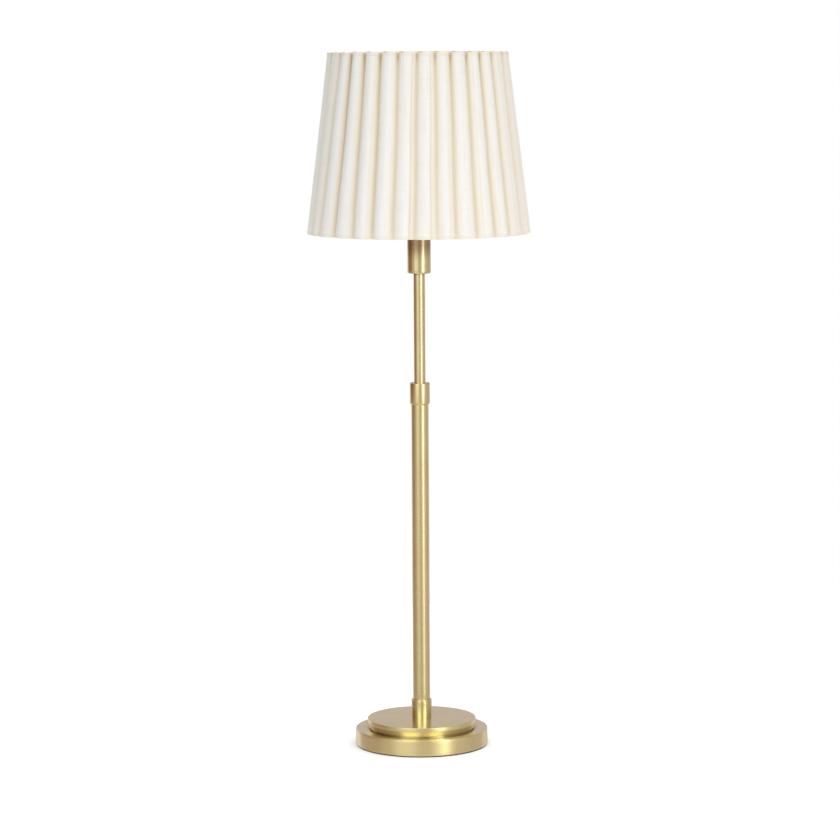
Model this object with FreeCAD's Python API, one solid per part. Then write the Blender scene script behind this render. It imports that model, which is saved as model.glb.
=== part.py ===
import FreeCAD, Part
import math
import os

# Candlestick lamp with a height-adjustable stem and a pleated shade.
# Millimetres, +Z up. The origin is the middle of the foot, on the surface that the lamp stands on.

# ---- base: a felt pad, a broad lower disc and a narrower upper disc
PAD_RADIUS = 74.2
PAD_THICKNESS = 1.2
PLINTH_RADIUS = 75.7
PLINTH_HEIGHT = 17.9
PLINTH_EDGE_ROUND = 1.1
STEP_RADIUS = 62.2
STEP_HEIGHT = 11.4
STEP_EDGE_ROUND = 1.3
STEP_FOOT_ROUND = 2.4
STEP_NECK_HEIGHT = 1.0
STEP_NECK_SETBACK = 1.8
SHELL_WALL = 1.6
BALLAST_GAP = 0.3
POCKET_RADIUS = 17.0
POCKET_DEPTH = 10.0
SPACER_RADIUS = 12.5

# ---- threaded pipes and their nuts
PIPE_RADIUS = 4.85
PIPE_BORE_RADIUS = 3.5
PIPE_THREAD_GAP = 0.05
PIPE_PASS_GAP = 0.35
PIPE_TAIL = 2.0
LOCK_WASHER_RADIUS = 14.0
LOCK_WASHER_THICKNESS = 1.5
LOCK_NUT_ACROSS_FLATS = 17.0
LOCK_NUT_HEIGHT = 5.0

# ---- cord bushing at the back of the lower disc
BUSHING_BORE_RADIUS = 3.0
BUSHING_WALL = 1.2
BUSHING_FLANGE_RADIUS = 5.6
BUSHING_FLANGE_THICKNESS = 1.6
BUSHING_TAIL = 3.0
BUSHING_HEIGHT = 8.0
BUSHING_FIT_GAP = 0.1
CORD_WAY_RADIUS = 4.9

# ---- coupler that carries the stem
COUPLER_RADIUS = 11.6
COUPLER_HEIGHT = 21.6
COUPLER_FLOOR = 8.0
COUPLER_EDGE_ROUND = 0.5
COUPLER_GROOVE_HEIGHT = 0.6
COUPLER_GROOVE_DEPTH = 0.5
COUPLER_LIP_HEIGHT = 1.2

# ---- stem: the upper tube slides and turns in the lower tube
LOWER_TUBE_RADIUS = 9.8
LOWER_TUBE_WALL = 1.2
LOWER_TUBE_LENGTH = 373.5
UPPER_TUBE_RADIUS = 6.5
UPPER_TUBE_LENGTH = 290.0
STEM_SHOWING = 124.9
SOLDER_GAP = 0.05
RUNNING_GAP = 0.08

# ---- clamping collar at the top of the lower tube
COLLAR_RADIUS = 11.35
COLLAR_STRAIGHT = 21.7
COLLAR_TAPER_HEIGHT = 2.8
COLLAR_TAPER_RADIUS = 10.25
COLLAR_HEM_HEIGHT = 0.8
COLLAR_EDGE_ROUND = 0.6
COLLAR_LIP_THICKNESS = 1.7
COLLAR_LIP_GAP = 0.3
COLLAR_CONE_GAP = 0.3
COLLET_TAIL = 14.0
COLLET_FLANGE_THICKNESS = 1.5
COLLET_CONE_HEIGHT = 3.0
COLLET_TIP_RADIUS = 8.2
COLLET_SLITS = 4
COLLET_SLIT_WIDTH = 1.0
COLLET_SLIT_DEPTH = 10.0

# ---- guide at the lower end of the upper tube
GUIDE_LENGTH = 16.0
STOP_RING_RADIUS = 7.7
STOP_RING_HEIGHT = 2.0
CLIP_RADIUS = 7.5
CLIP_HEIGHT = 1.2
CLIP_INSET = 1.5
CLIP_MOUTH = 7.0
GUIDE_PLAY = 0.3

# ---- cup under the lampholder
CUP_RADIUS = 13.25
CUP_HEIGHT = 54.0
CUP_WALL = 1.0
CUP_FLOOR = 1.6
CUP_EDGE_ROUND = 1.4
HEAD_PIPE_DEPTH = 14.0
CUP_WASHER_RADIUS = 9.0
CUP_WASHER_THICKNESS = 1.0
CUP_NUT_ACROSS_FLATS = 14.0
CUP_NUT_HEIGHT = 4.0

# ---- lampholder
NECK_RADIUS = 11.6
NECK_FLOOR = 8.0
NECK_BORE_RADIUS = 8.0
NECK_LIFT = 1.5
HOLDER_RADIUS = 19.0
HOLDER_FLOOR = 3.0
HOLDER_FLANGE_RADIUS = 24.0
HOLDER_FLANGE_HEIGHT = 2.8
HOLDER_FLANGE_DROP = 14.2
HOLDER_RIM_HEIGHT = 1.2
CHAMBER_RADIUS = 13.5
CHAMBER_HEIGHT = 16.0
CARRIER_HEIGHT = 11.0
CARRIER_WELL_RADIUS = 8.0
CARRIER_WELL_DEPTH = 6.0
SHELL_BORE_RADIUS = 13.3
SCREW_SHELL_WALL = 0.5
SCREW_SHELL_HEIGHT = 22.0
HOLDER_SEAT_GAP = 0.15
CONTACT_WIDTH = 5.0
CONTACT_LENGTH = 11.0
CONTACT_THICKNESS = 0.6
CONTACT_RISE = 3.6
TERMINAL_RADIUS = 2.5
TERMINAL_HEIGHT = 4.0
TERMINAL_SPREAD = 9.0

# ---- rotary switch in the lampholder
SWITCH_LENGTH = 14.0
SWITCH_WIDTH = 12.0
SWITCH_HEIGHT = 9.0
SHAFT_RADIUS = 1.6
SHAFT_GAP = 0.08
SHAFT_INNER_END = 1.0
SHAFT_WAY_GAP = 0.5
KNOB_RADIUS = 6.2
KNOB_NECK_RADIUS = 4.2
KNOB_NECK_LENGTH = 3.0
KNOB_LENGTH = 15.0
KNOB_STANDOFF = 1.5
KNOB_CAP = 3.0
KNOB_FLUTES = 12
KNOB_FLUTE_RADIUS = 0.9
KNOB_EDGE_ROUND = 0.8

# ---- shade: pleated cloth on a wire frame, held by a screw ring
SHADE_BOTTOM_RADIUS = 127.0
SHADE_TOP_RADIUS = 102.1
SHADE_HEIGHT = 203.7
FITTER_RISE = 25.1
PLEATS = 30
FIRST_VALLEY_DEG = -1.5
PLEAT_DEPTH_BOTTOM = 5.2
PLEAT_DEPTH_TOP = 4.2
VALLEY_SHARE = 0.3
FLANK_SHARE = 0.65
CLOTH_THICKNESS = 0.9
CLOTH_GAP = 0.3
RING_WIRE_RADIUS = 1.25
RING_INSET = 4.0
UPRIGHT_COUNT = 6
UPRIGHT_WIRE_RADIUS = 1.1
ARM_COUNT = 3
ARM_WIRE_RADIUS = 1.6
WELD_GAP = 0.1
FITTER_BORE_GAP = 0.6
FITTER_RADIUS = 26.0
FITTER_THICKNESS = 1.6
SEAT_GAP = 0.2
SCREW_RING_RADIUS = 25.0
SCREW_RING_HEIGHT = 8.0
SCREW_RING_FLUTES = 24
SCREW_RING_FLUTE_RADIUS = 1.2
SCREW_RING_EDGE_ROUND = 0.8

# ---- levels that follow from the sizes above
PAD_TOP = PAD_THICKNESS
PLINTH_TOP = PAD_TOP + PLINTH_HEIGHT
STEP_TOP = PLINTH_TOP + STEP_HEIGHT
POCKET_ROOF = PAD_TOP + POCKET_DEPTH
COUPLER_TOP = STEP_TOP + COUPLER_HEIGHT
LOWER_TUBE_BOTTOM = STEP_TOP + COUPLER_FLOOR
LOWER_TUBE_TOP = LOWER_TUBE_BOTTOM + LOWER_TUBE_LENGTH
LOWER_TUBE_BORE = LOWER_TUBE_RADIUS - LOWER_TUBE_WALL
COLLET_CONE_FOOT = LOWER_TUBE_TOP + COLLET_FLANGE_THICKNESS
COLLET_TIP = COLLET_CONE_FOOT + COLLET_CONE_HEIGHT
COLLAR_LIP_BOTTOM = COLLET_TIP + COLLAR_CONE_GAP
COLLAR_TOP = COLLAR_LIP_BOTTOM + COLLAR_LIP_THICKNESS
CUP_BOTTOM = COLLAR_TOP + STEM_SHOWING
CUP_TOP = CUP_BOTTOM + CUP_HEIGHT
CUP_FLOOR_TOP = CUP_BOTTOM + CUP_FLOOR
UPPER_TUBE_BOTTOM = CUP_BOTTOM - UPPER_TUBE_LENGTH
UPPER_TUBE_BORE = PIPE_RADIUS + PIPE_THREAD_GAP
CUP_NUT_BOTTOM = CUP_FLOOR_TOP + CUP_WASHER_THICKNESS
NECK_BOTTOM = CUP_NUT_BOTTOM + CUP_NUT_HEIGHT + NECK_LIFT
NECK_FLOOR_TOP = NECK_BOTTOM + NECK_FLOOR
CHAMBER_FLOOR = CUP_TOP + HOLDER_FLOOR
CARRIER_BOTTOM = CHAMBER_FLOOR + CHAMBER_HEIGHT
CARRIER_TOP = CARRIER_BOTTOM + CARRIER_HEIGHT
WELL_FLOOR = CARRIER_TOP - CARRIER_WELL_DEPTH
SCREW_SHELL_TOP = CARRIER_TOP + SCREW_SHELL_HEIGHT
SCREW_SHELL_RADIUS = SHELL_BORE_RADIUS + SCREW_SHELL_WALL
HOLDER_TOP = SCREW_SHELL_TOP + HOLDER_RIM_HEIGHT
CARRIER_RADIUS = SCREW_SHELL_RADIUS + HOLDER_SEAT_GAP
HOLDER_SEAT_RADIUS = CARRIER_RADIUS + HOLDER_SEAT_GAP
FLANGE_BOTTOM = CUP_TOP + HOLDER_FLANGE_DROP
FLANGE_TOP = FLANGE_BOTTOM + HOLDER_FLANGE_HEIGHT
SHAFT_LEVEL = CHAMBER_FLOOR + SWITCH_HEIGHT / 2
KNOB_START = HOLDER_RADIUS + KNOB_STANDOFF
FITTER_BOTTOM = FLANGE_TOP + SEAT_GAP
FITTER_TOP = FITTER_BOTTOM + FITTER_THICKNESS
SHADE_BOTTOM = FLANGE_TOP - FITTER_RISE
SHADE_TOP = SHADE_BOTTOM + SHADE_HEIGHT
BOTTOM_RING_LEVEL = SHADE_BOTTOM + RING_INSET
TOP_RING_LEVEL = SHADE_TOP - RING_INSET

AXIS = FreeCAD.Vector(0, 0, 1)
ORIGIN = FreeCAD.Vector(0, 0, 0)
DIAGONAL = math.sqrt(0.5)


def on_section(point):
    """A point (radius, level) of a turned section, in the XZ plane."""
    return FreeCAD.Vector(point[0], 0, point[1])


def turned(start, *steps):
    """A solid turned about Z. A step is a point (radius, level), or the middle and end of an arc."""
    edges = []
    here = on_section(start)
    for step in steps:
        if isinstance(step[0], tuple):
            target = on_section(step[1])
            edges.append(Part.Arc(here, on_section(step[0]), target).toShape())
        else:
            target = on_section(step)
            edges.append(Part.makeLine(here, target))
        here = target
    edges.append(Part.makeLine(here, on_section(start)))
    return Part.Face(Part.Wire(edges)).revolve(ORIGIN, AXIS, 360)


def head_round(radius, level, size):
    """The arc that rounds an upper outer corner, reached from the inside."""
    middle = (radius - size + size * DIAGONAL, level - size + size * DIAGONAL)
    return (middle, (radius, level - size))


def head_round_inward(radius, level, size):
    """The arc that rounds an upper outer corner, reached from below."""
    middle = (radius - size + size * DIAGONAL, level - size + size * DIAGONAL)
    return (middle, (radius - size, level))


def foot_round(radius, level, size):
    """The arc that rounds a lower outer corner, reached from the inside."""
    middle = (radius - size + size * DIAGONAL, level + size - size * DIAGONAL)
    return (middle, (radius, level + size))


def foot_round_inward(radius, level, size):
    """The arc that rounds a lower outer corner, reached from above."""
    middle = (radius - size + size * DIAGONAL, level + size - size * DIAGONAL)
    return (middle, (radius - size, level))


def sleeve(outer, inner, bottom, top):
    """A plain tube or washer about Z."""
    return turned((inner, bottom), (outer, bottom), (outer, top), (inner, top))


def hex_nut(across_flats, bore, bottom, height):
    """A hexagon nut about Z with a plain bore."""
    corner = across_flats / 2 / math.cos(math.radians(30))
    points = []
    for side in range(7):
        angle = math.radians(60 * side)
        points.append(FreeCAD.Vector(corner * math.cos(angle), corner * math.sin(angle), bottom))
    block = Part.Face(Part.makePolygon(points)).extrude(FreeCAD.Vector(0, 0, height))
    return block.cut(Part.makeCylinder(bore, height, FreeCAD.Vector(0, 0, bottom)))


def cylinder_between(radius, start, end):
    """A straight wire between two points."""
    return Part.makeCylinder(radius, start.distanceToPoint(end), start, end.sub(start))


def at_azimuth(radius, degrees, level):
    """A point at a radius and an angle about Z, counted from +X."""
    angle = math.radians(degrees)
    return FreeCAD.Vector(radius * math.cos(angle), radius * math.sin(angle), level)


# ---- base

def felt_pad():
    return Part.makeCylinder(PAD_RADIUS, PAD_THICKNESS)


def cord_way(radius, inner_end, outer_end):
    """A round rod towards the back at the cord bushing's height."""
    start = FreeCAD.Vector(0, inner_end, PAD_TOP + BUSHING_HEIGHT)
    return Part.makeCylinder(radius, outer_end - inner_end, start, FreeCAD.Vector(0, 1, 0))


def plinth_shell():
    """Lower disc: a spun cap, open below."""
    bore = PIPE_RADIUS + PIPE_PASS_GAP
    inside = PLINTH_RADIUS - SHELL_WALL
    cap = turned(
        (bore, PLINTH_TOP),
        (PLINTH_RADIUS - PLINTH_EDGE_ROUND, PLINTH_TOP),
        head_round(PLINTH_RADIUS, PLINTH_TOP, PLINTH_EDGE_ROUND),
        (PLINTH_RADIUS, PAD_TOP),
        (inside, PAD_TOP),
        (inside, PLINTH_TOP - SHELL_WALL),
        (bore, PLINTH_TOP - SHELL_WALL),
    )
    hole = BUSHING_BORE_RADIUS + BUSHING_WALL + BUSHING_FIT_GAP
    return cap.cut(cord_way(hole, PLINTH_RADIUS / 2, PLINTH_RADIUS * 2))


def ballast():
    """Iron weight that fills the lower disc, with a pocket for the nut and a way for the cord."""
    radius = PLINTH_RADIUS - SHELL_WALL - BALLAST_GAP
    weight = sleeve(radius, PIPE_RADIUS + PIPE_PASS_GAP, PAD_TOP, PLINTH_TOP - SHELL_WALL)
    pocket = Part.makeCylinder(POCKET_RADIUS, POCKET_DEPTH, FreeCAD.Vector(0, 0, PAD_TOP))
    return weight.cut(pocket).cut(cord_way(CORD_WAY_RADIUS, POCKET_RADIUS / 2, PLINTH_RADIUS))


def step_shell():
    """Upper disc: a spun cap with a rounded wall that turns in to a narrow neck."""
    bore = PIPE_RADIUS + PIPE_PASS_GAP
    neck = STEP_RADIUS - STEP_NECK_SETBACK - STEP_FOOT_ROUND
    inside = neck - SHELL_WALL
    foot = PLINTH_TOP + STEP_NECK_HEIGHT
    return turned(
        (bore, STEP_TOP),
        (STEP_RADIUS - STEP_EDGE_ROUND, STEP_TOP),
        head_round(STEP_RADIUS, STEP_TOP, STEP_EDGE_ROUND),
        (STEP_RADIUS, foot + STEP_FOOT_ROUND),
        foot_round_inward(STEP_RADIUS, foot, STEP_FOOT_ROUND),
        (neck, foot),
        (neck, PLINTH_TOP),
        (inside, PLINTH_TOP),
        (inside, STEP_TOP - SHELL_WALL),
        (bore, STEP_TOP - SHELL_WALL),
    )


def spacer_bush():
    """Bush that carries the clamping load between the two caps."""
    return sleeve(SPACER_RADIUS, PIPE_RADIUS + PIPE_PASS_GAP, PLINTH_TOP, STEP_TOP - SHELL_WALL)


def lock_washer():
    return sleeve(LOCK_WASHER_RADIUS, PIPE_RADIUS + PIPE_PASS_GAP,
                  POCKET_ROOF - LOCK_WASHER_THICKNESS, POCKET_ROOF)


def lock_nut():
    bottom = POCKET_ROOF - LOCK_WASHER_THICKNESS - LOCK_NUT_HEIGHT
    return hex_nut(LOCK_NUT_ACROSS_FLATS, PIPE_RADIUS + PIPE_THREAD_GAP, bottom, LOCK_NUT_HEIGHT)


def base_pipe():
    """Threaded pipe from the nut in the pocket up into the coupler."""
    bottom = POCKET_ROOF - LOCK_WASHER_THICKNESS - LOCK_NUT_HEIGHT - PIPE_TAIL
    return sleeve(PIPE_RADIUS, PIPE_BORE_RADIUS, bottom, LOWER_TUBE_BOTTOM)


def cord_bushing():
    """Flanged bush that lines the cord's way through the rim."""
    barrel_radius = BUSHING_BORE_RADIUS + BUSHING_WALL
    tail = PLINTH_RADIUS - SHELL_WALL - BUSHING_TAIL
    outside = PLINTH_RADIUS + BUSHING_FLANGE_THICKNESS
    barrel = cord_way(barrel_radius, tail, outside)
    flange_start = PLINTH_RADIUS - BUSHING_FLANGE_THICKNESS
    flange = cord_way(BUSHING_FLANGE_RADIUS, flange_start, outside)
    rim = Part.makeCylinder(PLINTH_RADIUS, PLINTH_TOP)
    return barrel.fuse(flange.cut(rim)).cut(cord_way(BUSHING_BORE_RADIUS, tail, outside)).removeSplitter()


def coupler():
    """Sleeve that screws on the pipe and takes the lower tube."""
    groove_top = COUPLER_TOP - COUPLER_LIP_HEIGHT
    groove_bottom = groove_top - COUPLER_GROOVE_HEIGHT
    groove_radius = COUPLER_RADIUS - COUPLER_GROOVE_DEPTH
    tube_seat = LOWER_TUBE_RADIUS + SOLDER_GAP
    thread = PIPE_RADIUS + PIPE_THREAD_GAP
    return turned(
        (thread, STEP_TOP),
        (COUPLER_RADIUS, STEP_TOP),
        (COUPLER_RADIUS, groove_bottom),
        (groove_radius, groove_bottom),
        (groove_radius, groove_top),
        (COUPLER_RADIUS, groove_top),
        (COUPLER_RADIUS, COUPLER_TOP - COUPLER_EDGE_ROUND),
        head_round_inward(COUPLER_RADIUS, COUPLER_TOP, COUPLER_EDGE_ROUND),
        (tube_seat, COUPLER_TOP),
        (tube_seat, LOWER_TUBE_BOTTOM),
        (thread, LOWER_TUBE_BOTTOM),
    )


# ---- stem

def lower_tube():
    return sleeve(LOWER_TUBE_RADIUS, LOWER_TUBE_BORE, LOWER_TUBE_BOTTOM, LOWER_TUBE_TOP)


def collet():
    """Slit nylon sleeve that grips the upper tube when the collar presses its cone."""
    bore = UPPER_TUBE_RADIUS + RUNNING_GAP
    body = LOWER_TUBE_BORE - SOLDER_GAP
    sleeve_body = turned(
        (bore, LOWER_TUBE_TOP - COLLET_TAIL),
        (body, LOWER_TUBE_TOP - COLLET_TAIL),
        (body, LOWER_TUBE_TOP),
        (LOWER_TUBE_RADIUS, LOWER_TUBE_TOP),
        (LOWER_TUBE_RADIUS, COLLET_CONE_FOOT),
        (COLLET_TIP_RADIUS, COLLET_TIP),
        (bore, COLLET_TIP),
    )
    for number in range(COLLET_SLITS):
        slit = Part.makeBox(LOWER_TUBE_RADIUS * 2, COLLET_SLIT_WIDTH, COLLET_SLIT_DEPTH * 2,
                            FreeCAD.Vector(0, -COLLET_SLIT_WIDTH / 2, COLLET_TIP - COLLET_SLIT_DEPTH))
        slit.rotate(ORIGIN, AXIS, 360 / COLLET_SLITS * (number + 0.5))
        sleeve_body = sleeve_body.cut(slit)
    return sleeve_body


def collar_nut():
    """Turned clamping collar, tapered at its foot, with a cone inside that presses the collet."""
    thread = LOWER_TUBE_RADIUS + RUNNING_GAP
    lip_bore = UPPER_TUBE_RADIUS + COLLAR_LIP_GAP
    cone_top = COLLET_TIP_RADIUS + COLLAR_CONE_GAP
    taper_start = COLLAR_TOP - COLLAR_STRAIGHT
    taper_end = taper_start - COLLAR_TAPER_HEIGHT
    foot = taper_end - COLLAR_HEM_HEIGHT
    return turned(
        (lip_bore, COLLAR_TOP),
        (COLLAR_RADIUS - COLLAR_EDGE_ROUND, COLLAR_TOP),
        head_round(COLLAR_RADIUS, COLLAR_TOP, COLLAR_EDGE_ROUND),
        (COLLAR_RADIUS, taper_start),
        (COLLAR_TAPER_RADIUS, taper_end),
        (COLLAR_TAPER_RADIUS, foot),
        (thread, foot),
        (thread, COLLET_CONE_FOOT),
        (cone_top, COLLAR_LIP_BOTTOM),
        (lip_bore, COLLAR_LIP_BOTTOM),
    )


def upper_tube():
    return sleeve(UPPER_TUBE_RADIUS, UPPER_TUBE_BORE, UPPER_TUBE_BOTTOM, CUP_BOTTOM)


def clip_level():
    """Underside of the retaining clip."""
    return UPPER_TUBE_BOTTOM + CLIP_INSET


def guide_level():
    """Underside of the guide bush."""
    return clip_level() + CLIP_HEIGHT + GUIDE_PLAY


def stop_level():
    """Underside of the stop ring."""
    return guide_level() + GUIDE_LENGTH + GUIDE_PLAY


def guide_bush():
    """Nylon bush that slides in the lower tube and in which the upper tube turns."""
    return sleeve(LOWER_TUBE_BORE - RUNNING_GAP, UPPER_TUBE_RADIUS + RUNNING_GAP,
                  guide_level(), guide_level() + GUIDE_LENGTH)


def stop_ring():
    """Ring soldered on the upper tube; it meets the collet at the top of the travel."""
    return sleeve(STOP_RING_RADIUS, UPPER_TUBE_RADIUS, stop_level(), stop_level() + STOP_RING_HEIGHT)


def retaining_clip():
    """Open spring ring that holds the guide bush on the tube."""
    ring = sleeve(CLIP_RADIUS, UPPER_TUBE_RADIUS, clip_level(), clip_level() + CLIP_HEIGHT)
    mouth = Part.makeBox(CLIP_RADIUS * 2, CLIP_MOUTH, CLIP_HEIGHT * 2,
                         FreeCAD.Vector(0, -CLIP_MOUTH / 2, clip_level() - CLIP_HEIGHT / 2))
    return ring.cut(mouth)


# ---- cup

def head_pipe():
    """Threaded pipe from the upper tube through the cup into the lampholder."""
    return sleeve(PIPE_RADIUS, PIPE_BORE_RADIUS, CUP_BOTTOM - HEAD_PIPE_DEPTH, NECK_FLOOR_TOP)


def socket_cup():
    """Spun cup that hides the foot of the lampholder."""
    bore = PIPE_RADIUS + PIPE_PASS_GAP
    inside = CUP_RADIUS - CUP_WALL
    return turned(
        (bore, CUP_BOTTOM),
        (CUP_RADIUS - CUP_EDGE_ROUND, CUP_BOTTOM),
        foot_round(CUP_RADIUS, CUP_BOTTOM, CUP_EDGE_ROUND),
        (CUP_RADIUS, CUP_TOP),
        (inside, CUP_TOP),
        (inside, CUP_FLOOR_TOP),
        (bore, CUP_FLOOR_TOP),
    )


def cup_washer():
    return sleeve(CUP_WASHER_RADIUS, PIPE_RADIUS + PIPE_PASS_GAP, CUP_FLOOR_TOP, CUP_NUT_BOTTOM)


def cup_nut():
    return hex_nut(CUP_NUT_ACROSS_FLATS, PIPE_RADIUS + PIPE_THREAD_GAP, CUP_NUT_BOTTOM, CUP_NUT_HEIGHT)


# ---- lampholder

def side_rod(radius, start, end):
    """A round rod along +X at the switch shaft's height."""
    foot = FreeCAD.Vector(start, 0, SHAFT_LEVEL)
    return Part.makeCylinder(radius, end - start, foot, FreeCAD.Vector(1, 0, 0))


def holder_body():
    """Moulded lampholder: a neck in the cup, a switch chamber, a seat flange and the socket wall."""
    body = turned(
        (PIPE_RADIUS + PIPE_THREAD_GAP, NECK_BOTTOM),
        (NECK_RADIUS, NECK_BOTTOM),
        (NECK_RADIUS, CUP_TOP),
        (HOLDER_RADIUS, CUP_TOP),
        (HOLDER_RADIUS, FLANGE_BOTTOM),
        (HOLDER_FLANGE_RADIUS, FLANGE_BOTTOM),
        (HOLDER_FLANGE_RADIUS, FLANGE_TOP),
        (HOLDER_RADIUS, FLANGE_TOP),
        (HOLDER_RADIUS, HOLDER_TOP),
        (HOLDER_SEAT_RADIUS, HOLDER_TOP),
        (HOLDER_SEAT_RADIUS, CARRIER_BOTTOM),
        (CHAMBER_RADIUS, CARRIER_BOTTOM),
        (CHAMBER_RADIUS, CHAMBER_FLOOR),
        (NECK_BORE_RADIUS, CHAMBER_FLOOR),
        (NECK_BORE_RADIUS, NECK_FLOOR_TOP),
        (PIPE_RADIUS + PIPE_THREAD_GAP, NECK_FLOOR_TOP),
    )
    return body.cut(side_rod(SHAFT_RADIUS + SHAFT_WAY_GAP, CHAMBER_RADIUS / 2, HOLDER_RADIUS * 2))


def contact_carrier():
    """Ceramic disc that carries the screw shell round a well with the centre contact."""
    disc = Part.makeCylinder(CARRIER_RADIUS, CARRIER_HEIGHT, FreeCAD.Vector(0, 0, CARRIER_BOTTOM))
    well = Part.makeCylinder(CARRIER_WELL_RADIUS, CARRIER_WELL_DEPTH, FreeCAD.Vector(0, 0, WELL_FLOOR))
    return disc.cut(well)


def centre_contact():
    """Bent brass tongue on the floor of the well."""
    half = CONTACT_WIDTH / 2
    thick = CONTACT_THICKNESS
    start = -CONTACT_LENGTH / 2
    points = [
        (start, WELL_FLOOR),
        (0, WELL_FLOOR),
        (CONTACT_LENGTH / 2, WELL_FLOOR + CONTACT_RISE - thick),
        (CONTACT_LENGTH / 2, WELL_FLOOR + CONTACT_RISE),
        (0, WELL_FLOOR + thick),
        (start, WELL_FLOOR + thick),
        (start, WELL_FLOOR),
    ]
    outline = Part.makePolygon([FreeCAD.Vector(x, -half, z) for x, z in points])
    return Part.Face(outline).extrude(FreeCAD.Vector(0, CONTACT_WIDTH, 0))


def screw_shell():
    return sleeve(SCREW_SHELL_RADIUS, SHELL_BORE_RADIUS, CARRIER_TOP, SCREW_SHELL_TOP)


def terminal_screws():
    """Two terminals under the carrier, as separate solids."""
    screws = []
    for side in (-1, 1):
        foot = FreeCAD.Vector(0, side * TERMINAL_SPREAD, CARRIER_BOTTOM - TERMINAL_HEIGHT)
        screws.append(Part.makeCylinder(TERMINAL_RADIUS, TERMINAL_HEIGHT, foot))
    return Part.makeCompound(screws)


def switch_block():
    """Rotary switch on the chamber's floor, bored for the shaft."""
    corner = FreeCAD.Vector(-SWITCH_LENGTH / 2, -SWITCH_WIDTH / 2, CHAMBER_FLOOR)
    block = Part.makeBox(SWITCH_LENGTH, SWITCH_WIDTH, SWITCH_HEIGHT, corner)
    return block.cut(side_rod(SHAFT_RADIUS + SHAFT_GAP, SHAFT_INNER_END - SHAFT_GAP, SWITCH_LENGTH))


def switch_shaft():
    return side_rod(SHAFT_RADIUS, SHAFT_INNER_END, KNOB_START + KNOB_LENGTH - KNOB_CAP)


def switch_knob():
    """Fluted turn knob with a slimmer neck, bored from behind for the shaft."""
    neck_end = KNOB_NECK_LENGTH
    knob = turned(
        (0, 0),
        (KNOB_NECK_RADIUS, 0),
        (KNOB_NECK_RADIUS, neck_end),
        (KNOB_RADIUS - KNOB_EDGE_ROUND, neck_end),
        foot_round(KNOB_RADIUS, neck_end, KNOB_EDGE_ROUND),
        (KNOB_RADIUS, KNOB_LENGTH - KNOB_EDGE_ROUND),
        head_round_inward(KNOB_RADIUS, KNOB_LENGTH, KNOB_EDGE_ROUND),
        (0, KNOB_LENGTH),
    )
    for number in range(KNOB_FLUTES):
        centre = at_azimuth(KNOB_RADIUS, 360 / KNOB_FLUTES * number, neck_end)
        knob = knob.cut(Part.makeCylinder(KNOB_FLUTE_RADIUS, KNOB_LENGTH, centre))
    knob = knob.cut(Part.makeCylinder(SHAFT_RADIUS, KNOB_LENGTH - KNOB_CAP))
    knob.rotate(ORIGIN, FreeCAD.Vector(0, 1, 0), 90)
    knob.translate(FreeCAD.Vector(KNOB_START, 0, SHAFT_LEVEL))
    return knob


# ---- shade

def crest_radius(level):
    """Radius of the pleats' crests at a level: the shade narrows evenly upwards."""
    share = (level - SHADE_BOTTOM) / SHADE_HEIGHT
    return SHADE_BOTTOM_RADIUS + (SHADE_TOP_RADIUS - SHADE_BOTTOM_RADIUS) * share


def pleat_depth(level):
    """Depth of the valleys at a level."""
    share = (level - SHADE_BOTTOM) / SHADE_HEIGHT
    return PLEAT_DEPTH_BOTTOM + (PLEAT_DEPTH_TOP - PLEAT_DEPTH_BOTTOM) * share


def frame_radius(level, wire):
    """Centre radius of a frame wire that lies just inside the valleys at a level."""
    return crest_radius(level) - pleat_depth(level) - CLOTH_THICKNESS - CLOTH_GAP - wire


def from_front(radius, degrees, level):
    """A point at an angle counted from the front, -Y, towards +X."""
    return at_azimuth(radius, degrees - 90, level)


def pleated_wire(level, inset):
    """Outline of the pleats: broad arcs over the crests and narrow arcs through the valleys."""
    crest = crest_radius(level) - inset
    depth = pleat_depth(level)
    flank = crest - depth * FLANK_SHARE
    pitch = 360 / PLEATS
    half_valley = pitch * VALLEY_SHARE / 2
    corners = []
    middles = []
    for number in range(PLEATS):
        valley = FIRST_VALLEY_DEG + pitch * number
        corners.append(from_front(flank, valley - half_valley, level))
        middles.append(from_front(crest - depth, valley, level))
        corners.append(from_front(flank, valley + half_valley, level))
        middles.append(from_front(crest, valley + pitch / 2, level))
    corners.append(corners[0])
    edges = []
    for number, middle in enumerate(middles):
        edges.append(Part.Arc(corners[number], middle, corners[number + 1]).toShape())
    return Part.Wire(edges)


def pleated_body(inset):
    """Solid inside one face of the cloth."""
    rims = [pleated_wire(SHADE_BOTTOM, inset), pleated_wire(SHADE_TOP, inset)]
    return Part.makeLoft(rims, True, True)


def shade_cloth():
    """Pleated linen as a wall of one thickness."""
    return pleated_body(0).cut(pleated_body(CLOTH_THICKNESS))


def wire_ring(level):
    radius = frame_radius(level, RING_WIRE_RADIUS)
    return Part.makeTorus(radius, RING_WIRE_RADIUS, FreeCAD.Vector(0, 0, level))


def bottom_wire_ring():
    return wire_ring(BOTTOM_RING_LEVEL)


def top_wire_ring():
    return wire_ring(TOP_RING_LEVEL)


def frame_uprights():
    """Straight wires under the crests, from ring to ring, as separate solids."""
    crest = FIRST_VALLEY_DEG + 180 / PLEATS
    clear = RING_WIRE_RADIUS + WELD_GAP
    low = BOTTOM_RING_LEVEL + clear
    high = TOP_RING_LEVEL - clear
    wires = []
    for number in range(UPRIGHT_COUNT):
        angle = crest + 360 / UPRIGHT_COUNT * number
        start = from_front(frame_radius(low, UPRIGHT_WIRE_RADIUS), angle, low)
        end = from_front(frame_radius(high, UPRIGHT_WIRE_RADIUS), angle, high)
        wires.append(cylinder_between(UPRIGHT_WIRE_RADIUS, start, end))
    return Part.makeCompound(wires)


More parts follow.
